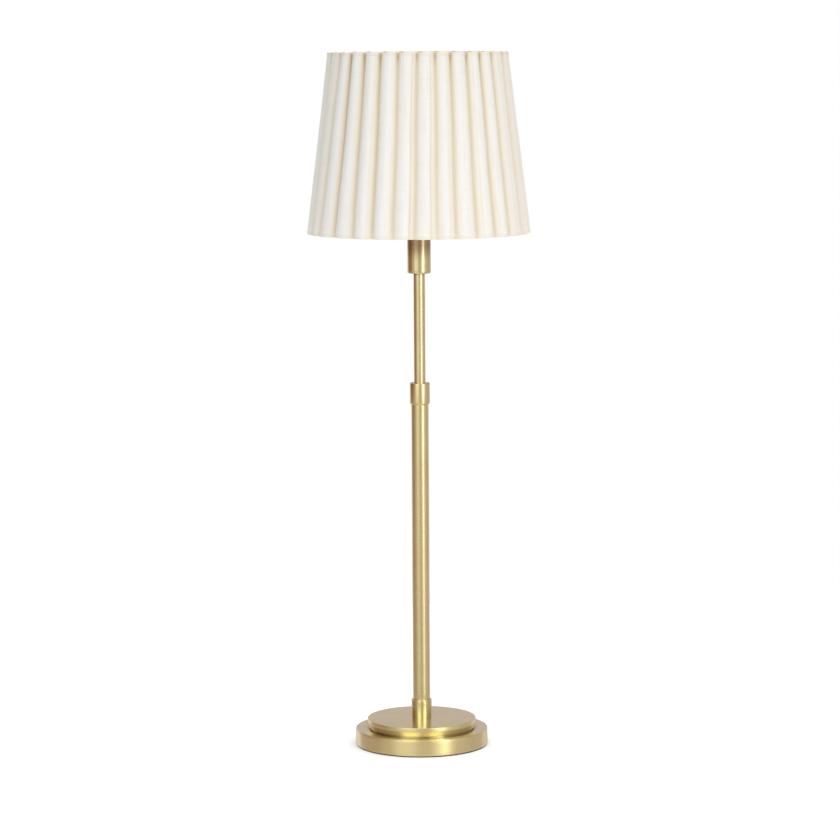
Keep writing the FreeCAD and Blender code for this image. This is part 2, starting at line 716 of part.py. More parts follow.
def fitter_ring():
    """Flat ring that sits on the lampholder's flange."""
    return sleeve(FITTER_RADIUS, HOLDER_RADIUS + FITTER_BORE_GAP, FITTER_BOTTOM, FITTER_TOP)


def fitter_arms():
    """Arms from the flat ring down to the bottom wire ring, as separate solids."""
    ring_middle = frame_radius(BOTTOM_RING_LEVEL, RING_WIRE_RADIUS)
    outer = ring_middle - RING_WIRE_RADIUS - WELD_GAP
    inner_level = (FITTER_BOTTOM + FITTER_TOP) / 2
    arms = []
    for number in range(ARM_COUNT):
        angle = 90 + 360 / ARM_COUNT * number
        start = at_azimuth(FITTER_RADIUS + WELD_GAP + ARM_WIRE_RADIUS / 2, angle, inner_level)
        end = at_azimuth(outer, angle, BOTTOM_RING_LEVEL)
        arms.append(cylinder_between(ARM_WIRE_RADIUS, start, end))
    return Part.makeCompound(arms)


def shade_screw_ring():
    """Fluted ring on the lampholder's thread that holds the fitter down."""
    bottom = FITTER_TOP + SEAT_GAP
    top = bottom + SCREW_RING_HEIGHT
    bore = HOLDER_RADIUS + RUNNING_GAP
    ring = turned(
        (bore, bottom),
        (SCREW_RING_RADIUS - SCREW_RING_EDGE_ROUND, bottom),
        foot_round(SCREW_RING_RADIUS, bottom, SCREW_RING_EDGE_ROUND),
        (SCREW_RING_RADIUS, top - SCREW_RING_EDGE_ROUND),
        head_round_inward(SCREW_RING_RADIUS, top, SCREW_RING_EDGE_ROUND),
        (bore, top),
    )
    for number in range(SCREW_RING_FLUTES):
        foot = at_azimuth(SCREW_RING_RADIUS, 360 / SCREW_RING_FLUTES * number, bottom)
        ring = ring.cut(Part.makeCylinder(SCREW_RING_FLUTE_RADIUS, SCREW_RING_HEIGHT, foot))
    return ring


PIECES = [
    felt_pad, plinth_shell, ballast, step_shell, spacer_bush, lock_washer, lock_nut, base_pipe,
    cord_bushing, coupler, lower_tube, collet, collar_nut, guide_bush, upper_tube, stop_ring,
    retaining_clip, head_pipe, socket_cup, cup_washer, cup_nut, holder_body, contact_carrier,
    centre_contact, screw_shell, terminal_screws, switch_block, switch_shaft, switch_knob,
    shade_cloth, bottom_wire_ring, top_wire_ring, frame_uprights, fitter_ring, fitter_arms,
    shade_screw_ring,
]


def main():
    os.makedirs("parts", exist_ok=True)
    for piece in PIECES:
        shape = piece()
        shape.exportStep(os.path.join("parts", piece.__name__ + ".step"))
        box = shape.BoundBox
        print("%-18s solids %d valid %s volume %.1f z %.2f to %.2f" % (
            piece.__name__, len(shape.Solids), shape.isValid(), shape.Volume, box.ZMin, box.ZMax))
    print("stem travel down %.2f up %.2f" % (
        STEM_SHOWING, LOWER_TUBE_TOP - COLLET_TAIL - stop_level() - STOP_RING_HEIGHT))


main()
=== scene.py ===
"""Looks of a candlestick lamp: turned brass base and telescopic stem, pleated linen shade, pale studio."""

import logging
import math
from dataclasses import dataclass, field
from enum import Enum
from typing import Callable, Iterable, Sequence

import bpy
import numpy as np
from mathutils import Matrix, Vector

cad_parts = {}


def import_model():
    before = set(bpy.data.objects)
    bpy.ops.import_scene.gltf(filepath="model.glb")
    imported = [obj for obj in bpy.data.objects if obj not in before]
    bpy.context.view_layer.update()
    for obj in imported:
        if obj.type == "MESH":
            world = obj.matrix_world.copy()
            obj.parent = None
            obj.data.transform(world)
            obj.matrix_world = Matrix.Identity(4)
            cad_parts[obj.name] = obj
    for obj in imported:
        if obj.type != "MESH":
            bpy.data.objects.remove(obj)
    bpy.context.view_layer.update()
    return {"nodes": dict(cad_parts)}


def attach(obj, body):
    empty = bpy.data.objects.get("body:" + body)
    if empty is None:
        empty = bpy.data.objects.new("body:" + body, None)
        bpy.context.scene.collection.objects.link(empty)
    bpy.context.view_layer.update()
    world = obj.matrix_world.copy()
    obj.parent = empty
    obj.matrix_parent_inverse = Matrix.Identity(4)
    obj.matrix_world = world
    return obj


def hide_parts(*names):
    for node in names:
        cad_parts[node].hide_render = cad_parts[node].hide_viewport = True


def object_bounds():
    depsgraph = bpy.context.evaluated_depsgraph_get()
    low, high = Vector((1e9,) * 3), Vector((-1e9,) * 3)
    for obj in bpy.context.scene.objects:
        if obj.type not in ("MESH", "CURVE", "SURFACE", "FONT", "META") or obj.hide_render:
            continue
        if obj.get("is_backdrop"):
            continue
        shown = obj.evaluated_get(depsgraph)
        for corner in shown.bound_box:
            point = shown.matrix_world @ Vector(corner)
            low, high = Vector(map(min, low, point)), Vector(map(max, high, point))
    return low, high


MM = 0.001
LOG = logging.getLogger("candlestick_lamp")
# sockets of a Mix node that mixes colours, and the setting that eases a Map Range node at both ends
FACTOR, FIRST, SECOND, RESULT = 0, 6, 7, 2
SMOOTH = {"interpolation_type": "SMOOTHSTEP"}

Array = np.ndarray
Piece = bpy.types.Object
Tree = bpy.types.NodeTree
Socket = bpy.types.NodeSocket
Triple = tuple[float, float, float]
Colour = tuple[float, float, float, float]
Layer = tuple[str, object, tuple[float, float], float]
Relief = Callable[[Array, Array, Array], Array]
# how much painted shade lies on a turned piece, from radius and level
PaintedShade = Callable[[Array, Array], Array]


# ---------------------------------------------------------------- colours and nodes

def linear(code: str) -> Colour:
    """Turns an sRGB hex colour to the linear values that a shader takes.

    Args:
        code: six hex digits.

    Returns:
        Red, green, blue and an alpha of one.
    """
    parts = [int(code[place:place + 2], 16) / 255 for place in (0, 2, 4)]
    red, green, blue = [p / 12.92 if p <= 0.04045 else ((p + 0.055) / 1.055) ** 2.4 for p in parts]
    return (red, green, blue, 1.0)


def add(tree: Tree, kind: str, inputs: dict | None = None, **settings: object) -> bpy.types.Node:
    """Adds a shader node with its settings, values and links.

    Args:
        tree: the node tree that gets it.
        kind: the node's type name after ShaderNode.
        inputs: a value, or an output socket to link, for each input's name or number.
        **settings: the node's own properties.

    Returns:
        The new node.
    """
    node = tree.nodes.new("ShaderNode" + kind)
    for name, value in settings.items():
        setattr(node, name, value)
    for key, value in (inputs or {}).items():
        if isinstance(value, Socket):
            tree.links.new(value, node.inputs[key])
        else:
            node.inputs[key].default_value = value
    return node


def limits(value: object, source: Sequence[float], target: Sequence[float]) -> dict:
    """Inputs of a Map Range node that carries a value from the source range to the target."""
    return dict(zip(("Value", "From Min", "From Max", "To Min", "To Max"), (value, *source, *target)))


class Follow(Enum):
    """What a finish's pattern follows."""

    SURFACE = "UV"
    SPACE = "Object"


def stretched(tree: Tree, follow: Follow, cells: Sequence[float]) -> Socket:
    """Coordinates on a piece or in its space, with so many pattern cells per metre along each direction."""
    place = add(tree, "TexCoord").outputs[follow.value]
    return add(tree, "Mapping", {"Vector": place, "Scale": cells}).outputs["Vector"]


def grain(tree: Tree, follow: Follow, cells: Sequence[float], detail: float, rough: float) -> Socket:
    """Noise that is fixed to a piece.

    Args:
        tree: the node tree.
        follow: whether the noise lies on the surface or in space.
        cells: clouds per metre along each direction.
        detail: how many finer layers it has.
        rough: how strong the finer layers are.

    Returns:
        The socket with values round one half.
    """
    vector = stretched(tree, follow, cells)
    noise = add(tree, "TexNoise", {"Vector": vector, "Scale": 1.0, "Detail": detail, "Roughness": rough})
    return noise.outputs["Fac"]


def layered(tree: Tree, first: str, layers: Iterable[Layer]) -> Socket:
    """Lays colours over a first one.

    Args:
        tree: the node tree.
        first: the first colour's hex code.
        layers: for each further one its hex code, the socket or the name of the mark that it follows,
            the range of that over which it comes in, and its greatest share.

    Returns:
        The socket with the mixed colour.
    """
    tone: object = linear(first)
    for code, where, source, most in layers:
        if isinstance(where, str):
            where = add(tree, "Attribute", attribute_name=where).outputs["Fac"]
        share = add(tree, "MapRange", limits(where, source, (0.0, most)), **SMOOTH).outputs[0]
        mix = add(tree, "Mix", {FACTOR: share, FIRST: tone, SECOND: linear(code)}, data_type="RGBA")
        tone = mix.outputs[RESULT]
    return tone


# ---------------------------------------------------------------- finishes

class Finish:
    """A finish: a name, and the inputs of its shader."""

    name: str

    def inputs(self, tree: Tree) -> dict:
        """Adds the patterns to a node tree and gives the shader's inputs."""
        raise NotImplementedError

    def material(self) -> bpy.types.Material:
        """Makes the material.

        Returns:
            The new material.
        """
        made = bpy.data.materials.new(self.name)
        made.use_nodes = True
        made.node_tree.nodes.clear()
        shader = add(made.node_tree, "BsdfPrincipled", self.inputs(made.node_tree))
        add(made.node_tree, "OutputMaterial", {"Surface": shader.outputs["BSDF"]})
        return made


@dataclass(frozen=True)
class TurnedBrass(Finish):
    """Brass turned on a lathe, brushed round the axis and lacquered.

    The brush lines run round the piece, so that lights draw out into soft upright bars; the lacquer
    adds a sharper and paler reflection at a flat angle. Real lines lie a tenth of a millimetre apart,
    too fine to show, so they are drawn coarser.
    """

    name: str
    bright: str = "f4e7ac"
    warm: str = "e8d095"
    # pale tone on rounded edges: rubbed brass, and also a painted highlight along them
    worn_and_highlit: str = "f7e9c4"
    # dark brown for painted shade in corners, gaps and under parts
    painted_shade_tone: str = "8f6a4a"
    roughness: float = 0.24
    unevenness: float = 0.08
    anisotropy: float = 0.6
    lacquer: float = 0.5
    line_spacing_mm: float = 0.7
    line_length: float = 60.0
    line_height_mm: float = 0.004
    line_strength: float = 0.3
    clouds_per_metre: float = 38.0
    specks_per_metre: float = 900.0
    follow: Follow = Follow.SURFACE

    def inputs(self, tree: Tree) -> dict:
        """Brush lines, clouds of tone, a pale tone on rounded edges that is rubbed brass and also a painted
        highlight, and a dark brown painted shade in corners and under parts.

        Args:
            tree: the material's node tree.

        Returns:
            The shader's inputs.
        """
        cells = 1 / (self.line_spacing_mm * MM)
        lines = grain(tree, self.follow, (cells / self.line_length, cells, cells), 3.0, 0.6)
        cloud = grain(tree, Follow.SPACE, (self.clouds_per_metre,) * 3, 3.0, 0.55)
        speck = grain(tree, Follow.SPACE, (self.specks_per_metre,) * 3, 2.0, 0.5)
        tone = layered(tree, self.bright, (
            (self.warm, cloud, (0.32, 0.72), 0.5), (self.warm, lines, (0.38, 0.7), 0.25),
            (self.worn_and_highlit, "edge", (0.0, 1.0), 0.3), (self.painted_shade_tone, "grime", (0.0, 1.0), 0.8),
        ))
        ends = [self.roughness * (1 + sign * self.unevenness) for sign in (-1, 1)]
        uneven = add(tree, "MapRange", limits(cloud, (0.3, 0.75), ends), **SMOOTH).outputs[0]
        dusty = add(tree, "MapRange", limits(speck, (0.55, 0.8), (0.0, 0.015)), **SMOOTH).outputs[0]
        bump = add(tree, "Bump", {
            "Height": lines, "Distance": self.line_height_mm * MM, "Strength": self.line_strength,
        })
        made = {
            "Base Color": tone, "Metallic": 1.0, "Normal": bump.outputs["Normal"],
            "Roughness": add(tree, "Math", {0: uneven, 1: dusty}, operation="ADD").outputs[0],
            "Anisotropic": self.anisotropy, "Anisotropic Rotation": 0.25,
            "Coat Weight": self.lacquer, "Coat Roughness": 0.12,
        }
        if self.follow is Follow.SURFACE:
            round_axis = add(tree, "Tangent", direction_type="UV_MAP", uv_map="surface")
            made["Tangent"] = round_axis.outputs["Tangent"]
        return made


@dataclass(frozen=True)
class PleatedLinen(Finish):
    """Plain-woven linen in an off-white, pressed into pleats, with a tan painted shade on its inner face.

    Threads of uneven thickness give faint streaks along and across. The folds get a tan painted shade,
    which stands for light that reaches their bottom only through and off the cloth. Real threads are a
    third of a millimetre wide, too fine to show, so they are drawn at twice that.
    """

    name: str = "woven_linen"
    face: str = "faf9f6"
    # cream, fold and pinch: painted shade in the folds, darker towards their bottoms; the tone after them is
    # painted shade on the inner face
    cream: str = "f4ede0"
    fold: str = "e6d9c1"
    pinch: str = "c4b192"
    painted_inner_shade: str = "c2b294"
    weft_slub: str = "d6c9ae"
    warp_slub: str = "d8cdb6"
    weave_gap: str = "c9bb9d"
    creamier_tone: str = "efe6cf"
    thread_mm: float = 0.75
    slub_length_mm: float = 26.0

    def inputs(self, tree: Tree) -> dict:
        """Weft and warp streaks with the weave's checks between them, and a tone for each mark: painted shade
        in the folds and on the inner face.

        Args:
            tree: the material's node tree.

        Returns:
            The shader's inputs.
        """
        thread = 1 / (self.thread_mm * MM)
        slub = 1 / (self.slub_length_mm * MM)
        weft = grain(tree, Follow.SURFACE, (slub, thread * 0.6, 1.0), 2.0, 0.55)
        warp = grain(tree, Follow.SURFACE, (thread * 0.45, slub * 0.5, 1.0), 2.0, 0.55)
        cells = stretched(tree, Follow.SURFACE, (thread, thread, 1.0))
        checks = add(tree, "TexVoronoi", {"Vector": cells, "Scale": 1.0, "Randomness": 0.35},
                     feature="F1", distance="CHEBYCHEV").outputs["Distance"]
        tone = layered(tree, self.face, (
            (self.cream, "fold", (0.04, 0.70), 1.0), (self.fold, "fold", (0.50, 1.0), 1.0),
            (self.pinch, "fold", (0.95, 1.3), 1.0), (self.weft_slub, weft, (0.50, 0.72), 0.10),
            (self.warp_slub, warp, (0.50, 0.72), 0.18), (self.weave_gap, checks, (0.35, 0.75), 0.08),
            (self.creamier_tone, "hem", (0.0, 1.0), 0.30), (self.painted_inner_shade, "inside", (0.5, 1.0), 0.85),
        ))
        raised = add(tree, "Math", {0: weft, 1: warp}, operation="ADD").outputs[0]
        raised = add(tree, "Math", {0: raised, 1: checks}, operation="SUBTRACT").outputs[0]
        bump = add(tree, "Bump", {"Height": raised, "Distance": 0.12 * MM, "Strength": 0.35})
        return {
            "Base Color": tone, "Roughness": 0.92, "Normal": bump.outputs["Normal"],
            "Specular IOR Level": 0.2, "Sheen Weight": 0.12, "Sheen Roughness": 0.5,
        }


@dataclass(frozen=True)
class Felt(Finish):
    """Pressed wool felt: matt, fibrous and nearly black, drawn with fibres coarser than real ones."""

    name: str = "wool_felt"
    dark: str = "0f0d0b"
    light: str = "1c1815"
    fibres_per_metre: float = 1400.0
    clouds_per_metre: float = 120.0

    def inputs(self, tree: Tree) -> dict:
        """Fibres that show where the wool lies thick.

        Args:
            tree: the material's node tree.

        Returns:
            The shader's inputs.
        """
        fibre = grain(tree, Follow.SPACE, (self.fibres_per_metre,) * 3, 4.0, 0.7)
        cloud = grain(tree, Follow.SPACE, (self.clouds_per_metre,) * 3, 3.0, 0.5)
        share = add(tree, "Math", {0: fibre, 1: cloud}, operation="MULTIPLY").outputs[0]
        bump = add(tree, "Bump", {"Height": fibre, "Distance": 0.2 * MM, "Strength": 0.8})
        return {
            "Base Color": layered(tree, self.dark, ((self.light, share, (0.15, 0.4), 1.0),)),
            "Roughness": 0.97, "Normal": bump.outputs["Normal"],
            "Specular IOR Level": 0.1, "Sheen Weight": 0.10, "Sheen Roughness": 0.6,
        }


@dataclass(frozen=True)
class Speckled(Finish):
    """A plain finish with fine grain: casting skin, plating, moulded plastic, enamel or ceramic.

    Two close tones in small clouds, a grain that roughens it and a low bump keep it from looking flat.
    """

    name: str
    first: str
    second: str
    roughness: float
    metallic: float = 0.0
    grain_mm: float = 1.0
    grain_height_mm: float = 0.02
    coat: float = 0.0
    clouds_per_metre: float = 60.0

    def inputs(self, tree: Tree) -> dict:
        """Clouds of the second tone, and a grain that roughens and raises the surface.

        Args:
            tree: the material's node tree.

        Returns:
            The shader's inputs.
        """
        tooth = grain(tree, Follow.SPACE, (1 / (self.grain_mm * MM),) * 3, 4.0, 0.6)
        cloud = grain(tree, Follow.SPACE, (self.clouds_per_metre,) * 3, 3.0, 0.5)
        ends = (self.roughness * 0.85, min(1.0, self.roughness * 1.2))
        bump = add(tree, "Bump", {"Height": tooth, "Distance": self.grain_height_mm * MM, "Strength": 0.5})
        return {
            "Base Color": layered(tree, self.first, ((self.second, cloud, (0.3, 0.7), 1.0),)),
            "Metallic": self.metallic, "Normal": bump.outputs["Normal"],
            "Roughness": add(tree, "MapRange", limits(tooth, (0.3, 0.75), ends), **SMOOTH).outputs[0],
            "Coat Weight": self.coat, "Coat Roughness": 0.1,
        }


@dataclass(frozen=True)
class MilkyAcrylic(Finish):
    """Cast acrylic with a sanded face: matt, even and nearly white."""

    name: str = "milky_acrylic"
    pale: str = "f9fafc"
    paler: str = "fbfcfe"
    clouds_per_metre: float = 300.0

    def inputs(self, tree: Tree) -> dict:
        """Two whites in faint clouds.

        Args:
            tree: the material's node tree.

        Returns:
            The shader's inputs.
        """
        cloud = grain(tree, Follow.SPACE, (self.clouds_per_metre,) * 3, 3.0, 0.5)
        mix = add(tree, "Mix", {
            FACTOR: cloud, FIRST: linear(self.pale), SECOND: linear(self.paler),
        }, data_type="RGBA")
        return {"Base Color": mix.outputs[RESULT], "Roughness": 1.0, "Specular IOR Level": 0.0}


class Finishes:
    """The lamp's finishes, one material each, made once."""

    def __init__(self) -> None:
        """Makes every material and files it under its slot's name."""
        finishes = {
            # lathe-brushed and lacquered: broad soft bars of light, lines round the axis
            "brushed_brass": TurnedBrass("brushed_brass", bright="fbeea8", warm="f0da9a", roughness=0.26,
                                         anisotropy=0.75, lacquer=1.0, line_strength=0.14),
            # finer satin on the stem, a little crisper than the base
            "satin_brass": TurnedBrass("satin_brass", anisotropy=0.45, lacquer=0.45, line_spacing_mm=0.5),
            # buffed small parts: the crispest lights
            "polished_brass": TurnedBrass("polished_brass", roughness=0.21, anisotropy=0.85, lacquer=0.6,
                                          line_spacing_mm=0.5),
            # rolled contact strip: no lacquer, even grain in space
            "contact_brass": TurnedBrass("contact_brass", roughness=0.3, lacquer=0.0, anisotropy=0.2,
                                         follow=Follow.SPACE),
            "felt": Felt(),
            "linen": PleatedLinen(),
            # sand-cast skin: dark, coarse and dry
            "grey_iron": Speckled("sand_cast_iron", "3a3a3b", "4c4a48", 0.75, 0.6, 0.9, 0.15),
            # bright zinc plating: bluish grey with a fine crystal grain
            "zinc_steel": Speckled("zinc_plated_steel", "b9bcc0", "a4a8ad", 0.34, 1.0, 0.5, 0.01),
            # compression-moulded phenolic: near black, glossy, slightly uneven
            "black_phenolic": Speckled("moulded_phenolic", "191716", "221e1b", 0.26, 0.0, 2.4, 0.006, 0.4),
            # natural nylon: waxy and milky
            "nylon": Speckled("natural_nylon", "e6e1d3", "dcd6c6", 0.48, 0.0, 0.8, 0.01),
            # unglazed steatite: chalky white with a fine tooth
            "steatite": Speckled("unglazed_steatite", "ece8de", "e2ddd0", 0.62, 0.0, 0.35, 0.02),
            # tempered spring steel: dark grey, lightly blued
            "spring_steel": Speckled("spring_steel", "6d7076", "5d6066", 0.32, 1.0, 0.5, 0.01),
            # epoxy powder on wire: warm white, slight orange peel
            "white_wire": Speckled("white_epoxy_wire", "efece4", "e5e1d7", 0.42, 0.0, 0.9, 0.03),
        }
        self.by_slot = {slot: finish.material() for slot, finish in finishes.items()}

    def dress(self, piece: Piece, slot: str) -> None:
        """Gives a piece the finish of a slot, in place of any material it has."""
        piece.data.materials.clear()
        piece.data.materials.append(self.by_slot[slot])

    def dress_node(self, node: Piece, slot: str) -> None:
        """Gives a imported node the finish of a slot, through its own material slots.

        Args:
            node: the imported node.
            slot: the record's slot of its finish.
        """
        if not node.material_slots:
            node.data.materials.append(self.by_slot[slot])
        for holder in node.material_slots:
            holder.material = self.by_slot[slot]


# ---------------------------------------------------------------- surfaces

def surface(name: str, grid: Array, looped: bool, uv: Array | None = None,
            marks: dict[str, Array] | None = None, crease_deg: float = 34.0) -> Piece:
    """Makes a closed mesh from a grid of points that closes round its second direction.

    A row whose points all meet becomes a pole. Faces are turned outwards by the sign of the enclosed
    volume, which is the sum over the triangles of a . (b x c) / 6.

    Args:
        name: the piece's name.
        grid: rows x columns x 3 points in millimetres.
        looped: whether the last row joins the first.
        uv: rows x (columns + 1) x 2 places on the surface in millimetres.
        marks: values at each point of the grid, for the finish to read.
        crease_deg: edges that turn more than this stay sharp.

    Returns:
        The new object, at the origin.
    """
    rows, columns = grid.shape[:2]
    index = np.arange(rows * columns).reshape(rows, columns)
    poles = np.ptp(grid, axis=1).max(axis=1) < 1e-9
    index[poles] = index[poles, :1]
    low, left = np.meshgrid(np.arange(rows if looped else rows - 1), np.arange(columns), indexing="ij")
    high, right = (low + 1) % rows, (left + 1) % columns
    quads = np.stack([index[low, left], index[low, right], index[high, right], index[high, left]], -1)
    quads = quads.reshape(-1, 4)
    if uv is None:
        uv = np.zeros((rows, columns + 1, 2))
    above = low + 1 if uv.shape[0] > rows else high
    places = np.stack([uv[low, left], uv[low, left + 1], uv[above, left + 1], uv[above, left]], -2)
    places = places.reshape(-1, 4, 2)
    first = quads[:, 0] == quads[:, 1]
    last = quads[:, 2] == quads[:, 3]
    whole = ~(first | last)
    kinds = ((whole, [0, 1, 2, 3]), (first, [0, 2, 3]), (last, [0, 1, 2]))
    parts = [(quads[chosen][:, keep], places[chosen][:, keep]) for chosen, keep in kinds]
    points = grid.reshape(-1, 3)
    volume = sum(
        np.einsum("ij,ij->", points[f[:, 0]], np.cross(points[f[:, k]], points[f[:, k + 1]]))
        for f, _ in parts if len(f) for k in range(1, f.shape[1] - 1)
    )
    if volume < 0:
        parts = [(f[:, ::-1], c[:, ::-1]) for f, c in parts]
    used, flat = np.unique(np.concatenate([f.ravel() for f, _ in parts]), return_inverse=True)
    totals = np.concatenate([np.full(len(f), f.shape[1]) for f, _ in parts])
    starts = np.concatenate([[0], np.cumsum(totals)[:-1]])
    places = np.concatenate([c.reshape(-1, 2) for _, c in parts])
    mesh = bpy.data.meshes.new(name)
    mesh.vertices.add(len(used))
    mesh.vertices.foreach_set("co", (points[used] * MM).astype(np.float32).ravel())
    mesh.loops.add(len(flat))
    mesh.loops.foreach_set("vertex_index", flat.astype(np.int32))
    mesh.polygons.add(len(totals))
    mesh.polygons.foreach_set("loop_start", starts.astype(np.int32))
    mesh.update(calc_edges=True)
    mesh.uv_layers.new(name="surface").data.foreach_set("uv", (places * MM).astype(np.float32).ravel())
    for mark, values in (marks or {}).items():
        layer = mesh.attributes.new(mark, "FLOAT", "POINT")
        layer.data.foreach_set("value", values.ravel()[used].astype(np.float32))
    mesh.shade_smooth()
    mesh.set_sharp_from_angle(angle=math.radians(crease_deg))
    mesh.validate()
    piece = bpy.data.objects.new(name, mesh)
    bpy.context.scene.collection.objects.link(piece)
    return piece


@dataclass
class Section:
    """A turned section: corners (radius, level, rounding) in millimetres, in order.

    Each corner is replaced by an arc that touches both its sides: it starts where the side is
    rounding / tan(half the angle between them) from the corner, and its middle lies inside the bend.
    """

    corners: Sequence[Triple]
    closed: bool = True
    arc_steps: int = 6

    @classmethod
    def box(cls, inner: float, outer: float, low: float, high: float,
            roundings: Sequence[float] = (0.0, 0.0, 0.0, 0.0), arc_steps: int = 6) -> "Section":
        """A plain wall between two radii and two levels; one that starts at the axis is open there."""
        corners = list(zip((inner, outer, outer, inner), (low, low, high, high), roundings))
        return cls(corners, inner > 0, arc_steps)

    def outline(self) -> tuple[Array, Array]:
        """Works the outline out.

        Returns:
            Points (radius, level), and for each how much it belongs to a rounded edge.
        """
        points: list[Array] = []
        edges: list[Array] = []
        count = len(self.corners)
        for number, (radius, level, size) in enumerate(self.corners):
            here = np.array([radius, level])
            inner = self.closed or 0 < number < count - 1
            if not inner or size <= 0:
                points.append(here[None])
                edges.append(np.zeros(1))
                continue
            before = np.array(self.corners[number - 1][:2]) - here
            after = np.array(self.corners[(number + 1) % count][:2]) - here
            before, after = before / np.linalg.norm(before), after / np.linalg.norm(after)
            half = math.acos(max(-1.0, min(1.0, float(before @ after)))) / 2
            middle = here + (before + after) / np.linalg.norm(before + after) * size / math.sin(half)
            start, end = (here + side * size / math.tan(half) - middle for side in (before, after))
            share = np.linspace(0, 1, self.arc_steps + 1)[:, None]
            bend = math.pi - 2 * half
            arc = (np.sin((1 - share) * bend) * start + np.sin(share * bend) * end) / math.sin(bend)
            points.append(middle + arc)
            edges.append(np.sin(share[:, 0] * math.pi) ** 0.5)
        return np.concatenate(points), np.concatenate(edges)


def densify(outline: Array, edge: Array, step: float, closed: bool) -> tuple[Array, Array]:
    """Adds points along the long sides of an outline, evenly, so that a relief can shape them.

    Args:
        outline: points (radius, level).
        edge: the mark that goes with each point.
        step: the longest side that stays whole, in millimetres.
        closed: whether the last point joins the first.

    Returns:
        The denser outline and marks.
    """
    following = np.roll(outline, -1, axis=0) if closed else outline[1:]
    start = outline if closed else outline[:-1]
    lengths = np.linalg.norm(following - start, axis=1)
    counts = np.maximum(1, np.ceil(lengths / step).astype(int))
    source = np.repeat(np.arange(len(counts)), counts)
    passed = (np.cumsum(counts) - counts)[source]
    share = (np.arange(counts.sum()) - passed) / counts[source]
    dense = start[source] + (following - start)[source] * share[:, None]
    mark = np.where(share == 0, edge[source], 0.0)
    if closed:
        return dense, mark
    return np.concatenate([dense, outline[-1:]]), np.concatenate([mark, edge[-1:]])


def turned(name: str, section: Section, segments: int = 144, relief: Relief | None = None,
           step: float = 1e9, grime: PaintedShade | None = None) -> Piece:
    """Carries a section round the Z axis.

    The point at turn a and place s on the section is (r cos a, r sin a, z), where r and z are the
    section's radius and level at s, and r gets relief(a, r, z) added where a relief is given.

    Args:
        name: the piece's name.
        section: the section to carry round.
        segments: how many steps one turn has.
        relief: radial change in millimetres from turn, radius and level.
        step: longest side of the section that isn't divided.
        grime: how much painted shade lies on the piece, from nought to one, from radius and level.

    Returns:
        The new object.
    """
    outline, edge = densify(*section.outline(), step, section.closed)
    turn = np.arange(segments) * 2 * math.pi / segments
    radius = np.repeat(outline[:, :1], segments, axis=1)
    level = np.repeat(outline[:, 1:], segments, axis=1)
    if relief is not None:
        radius = radius + relief(turn[None], radius, level)
    grid = np.stack([radius * np.cos(turn), radius * np.sin(turn), level], -1)
    sides = np.linalg.norm(np.diff(outline, axis=0, append=outline[:1]), axis=1)
    place = np.concatenate([[0], np.cumsum(sides)])[:len(outline) + (1 if section.closed else 0)]
    reach = 2 * math.pi * outline[:, 0].max()
    uv = np.stack(np.meshgrid(place, np.linspace(0, reach, segments + 1), indexing="ij"), -1)[..., ::-1]
    marks = {"edge": edge}
    # painted shade, kept as a mark for the finish to read
    if grime is not None:
        marks["grime"] = grime(outline[:, 0], outline[:, 1])
    marks = {mark: np.repeat(values[:, None], segments, axis=1) for mark, values in marks.items()}
    return surface(name, grid, section.closed, uv, marks)


def within(level: Array, low: float, high: float, low_run: float, high_run: float) -> Array:
    """Share that climbs from nought at the low level over its run, and falls to nought at the high one."""
    return ((level - low) / low_run).clip(0, 1) * ((high - level) / high_run).clip(0, 1)


def fluted(turn: Array, flutes: int, power: float) -> Array:
    """One in the middle of each flute and nought between: the cosine of half as many turns, to a power."""
    return np.abs(np.cos(flutes / 2 * turn)) ** power


def swept(path: Array, radii: Array, sides: int = 16) -> Array:
    """Carries a circle along a path.

    The point at step s and angle b is path(s) + radius(s) (cos b n + sin b m), where n and m are square
    to the path's direction, n lying as near to level as it can. Ends of no radius close the tube.

    Args:
        path: points in millimetres.
        radii: the circle's radius at each point.
        sides: how many sides the circle has.

    Returns:
        The grid of points.
    """
    along = np.gradient(path, axis=0)
    along /= np.linalg.norm(along, axis=1, keepdims=True)
    guide = np.array([0.0, 0.0, 1.0]) if abs(along[:, 2]).max() < 0.9 else np.array([0.31, 0.95, 0.0])
    across = np.cross(along, guide)
    across /= np.linalg.norm(across, axis=1, keepdims=True)
    other = np.cross(along, across)
    angle = np.arange(sides) * 2 * math.pi / sides
    ring = np.cos(angle)[None, :, None] * across[:, None] + np.sin(angle)[None, :, None] * other[:, None]
    return path[:, None] + radii[:, None, None] * ring


def wire(name: str, runs: Iterable[Array], radius: float, weld: float) -> Piece:
    """Makes straight or bent wires with welded ends as one object.

    Each wire is a swept circle whose radius swells to the weld's over the last two millimetres and
    closes with a quarter round.

    Args:
        name: the piece's name.
        runs: the wires' paths in millimetres.
        radius: the wire's radius.
        weld: radius of the bead at each end.

    Returns:
        The joined object.
    """
    cap = np.array([0.0, 0.12, 0.35, 0.7, 1.1, 1.6, 2.2, 3.0])
    plain, swell_run = 4.0, 2.0
    parts = []
    for number, run in enumerate(runs):
        length = np.concatenate([[0], np.cumsum(np.linalg.norm(np.diff(run, axis=0), axis=1))])
        total = length[-1]
        place = np.concatenate([cap, np.linspace(plain, total - plain, 24), (total - cap)[::-1]])
        path = np.stack([np.interp(place, length, run[:, axis]) for axis in range(3)], -1)
        near = np.minimum(place, total - place)
        round_end = np.sqrt(np.clip(1 - (1 - np.clip(near / weld, 0, 1)) ** 2, 0, 1))
        swell = radius + (weld - radius) * np.clip(1 - (near - weld * 0.6) / swell_run, 0, 1) ** 2
        parts.append(surface(f"{name}_{number}", swept(path, np.minimum(swell, weld) * round_end), False))
    with bpy.context.temp_override(active_object=parts[0], selected_editable_objects=parts):
        bpy.ops.object.join()
    parts[0].name = name
    parts[0].data.name = name
    return parts[0]


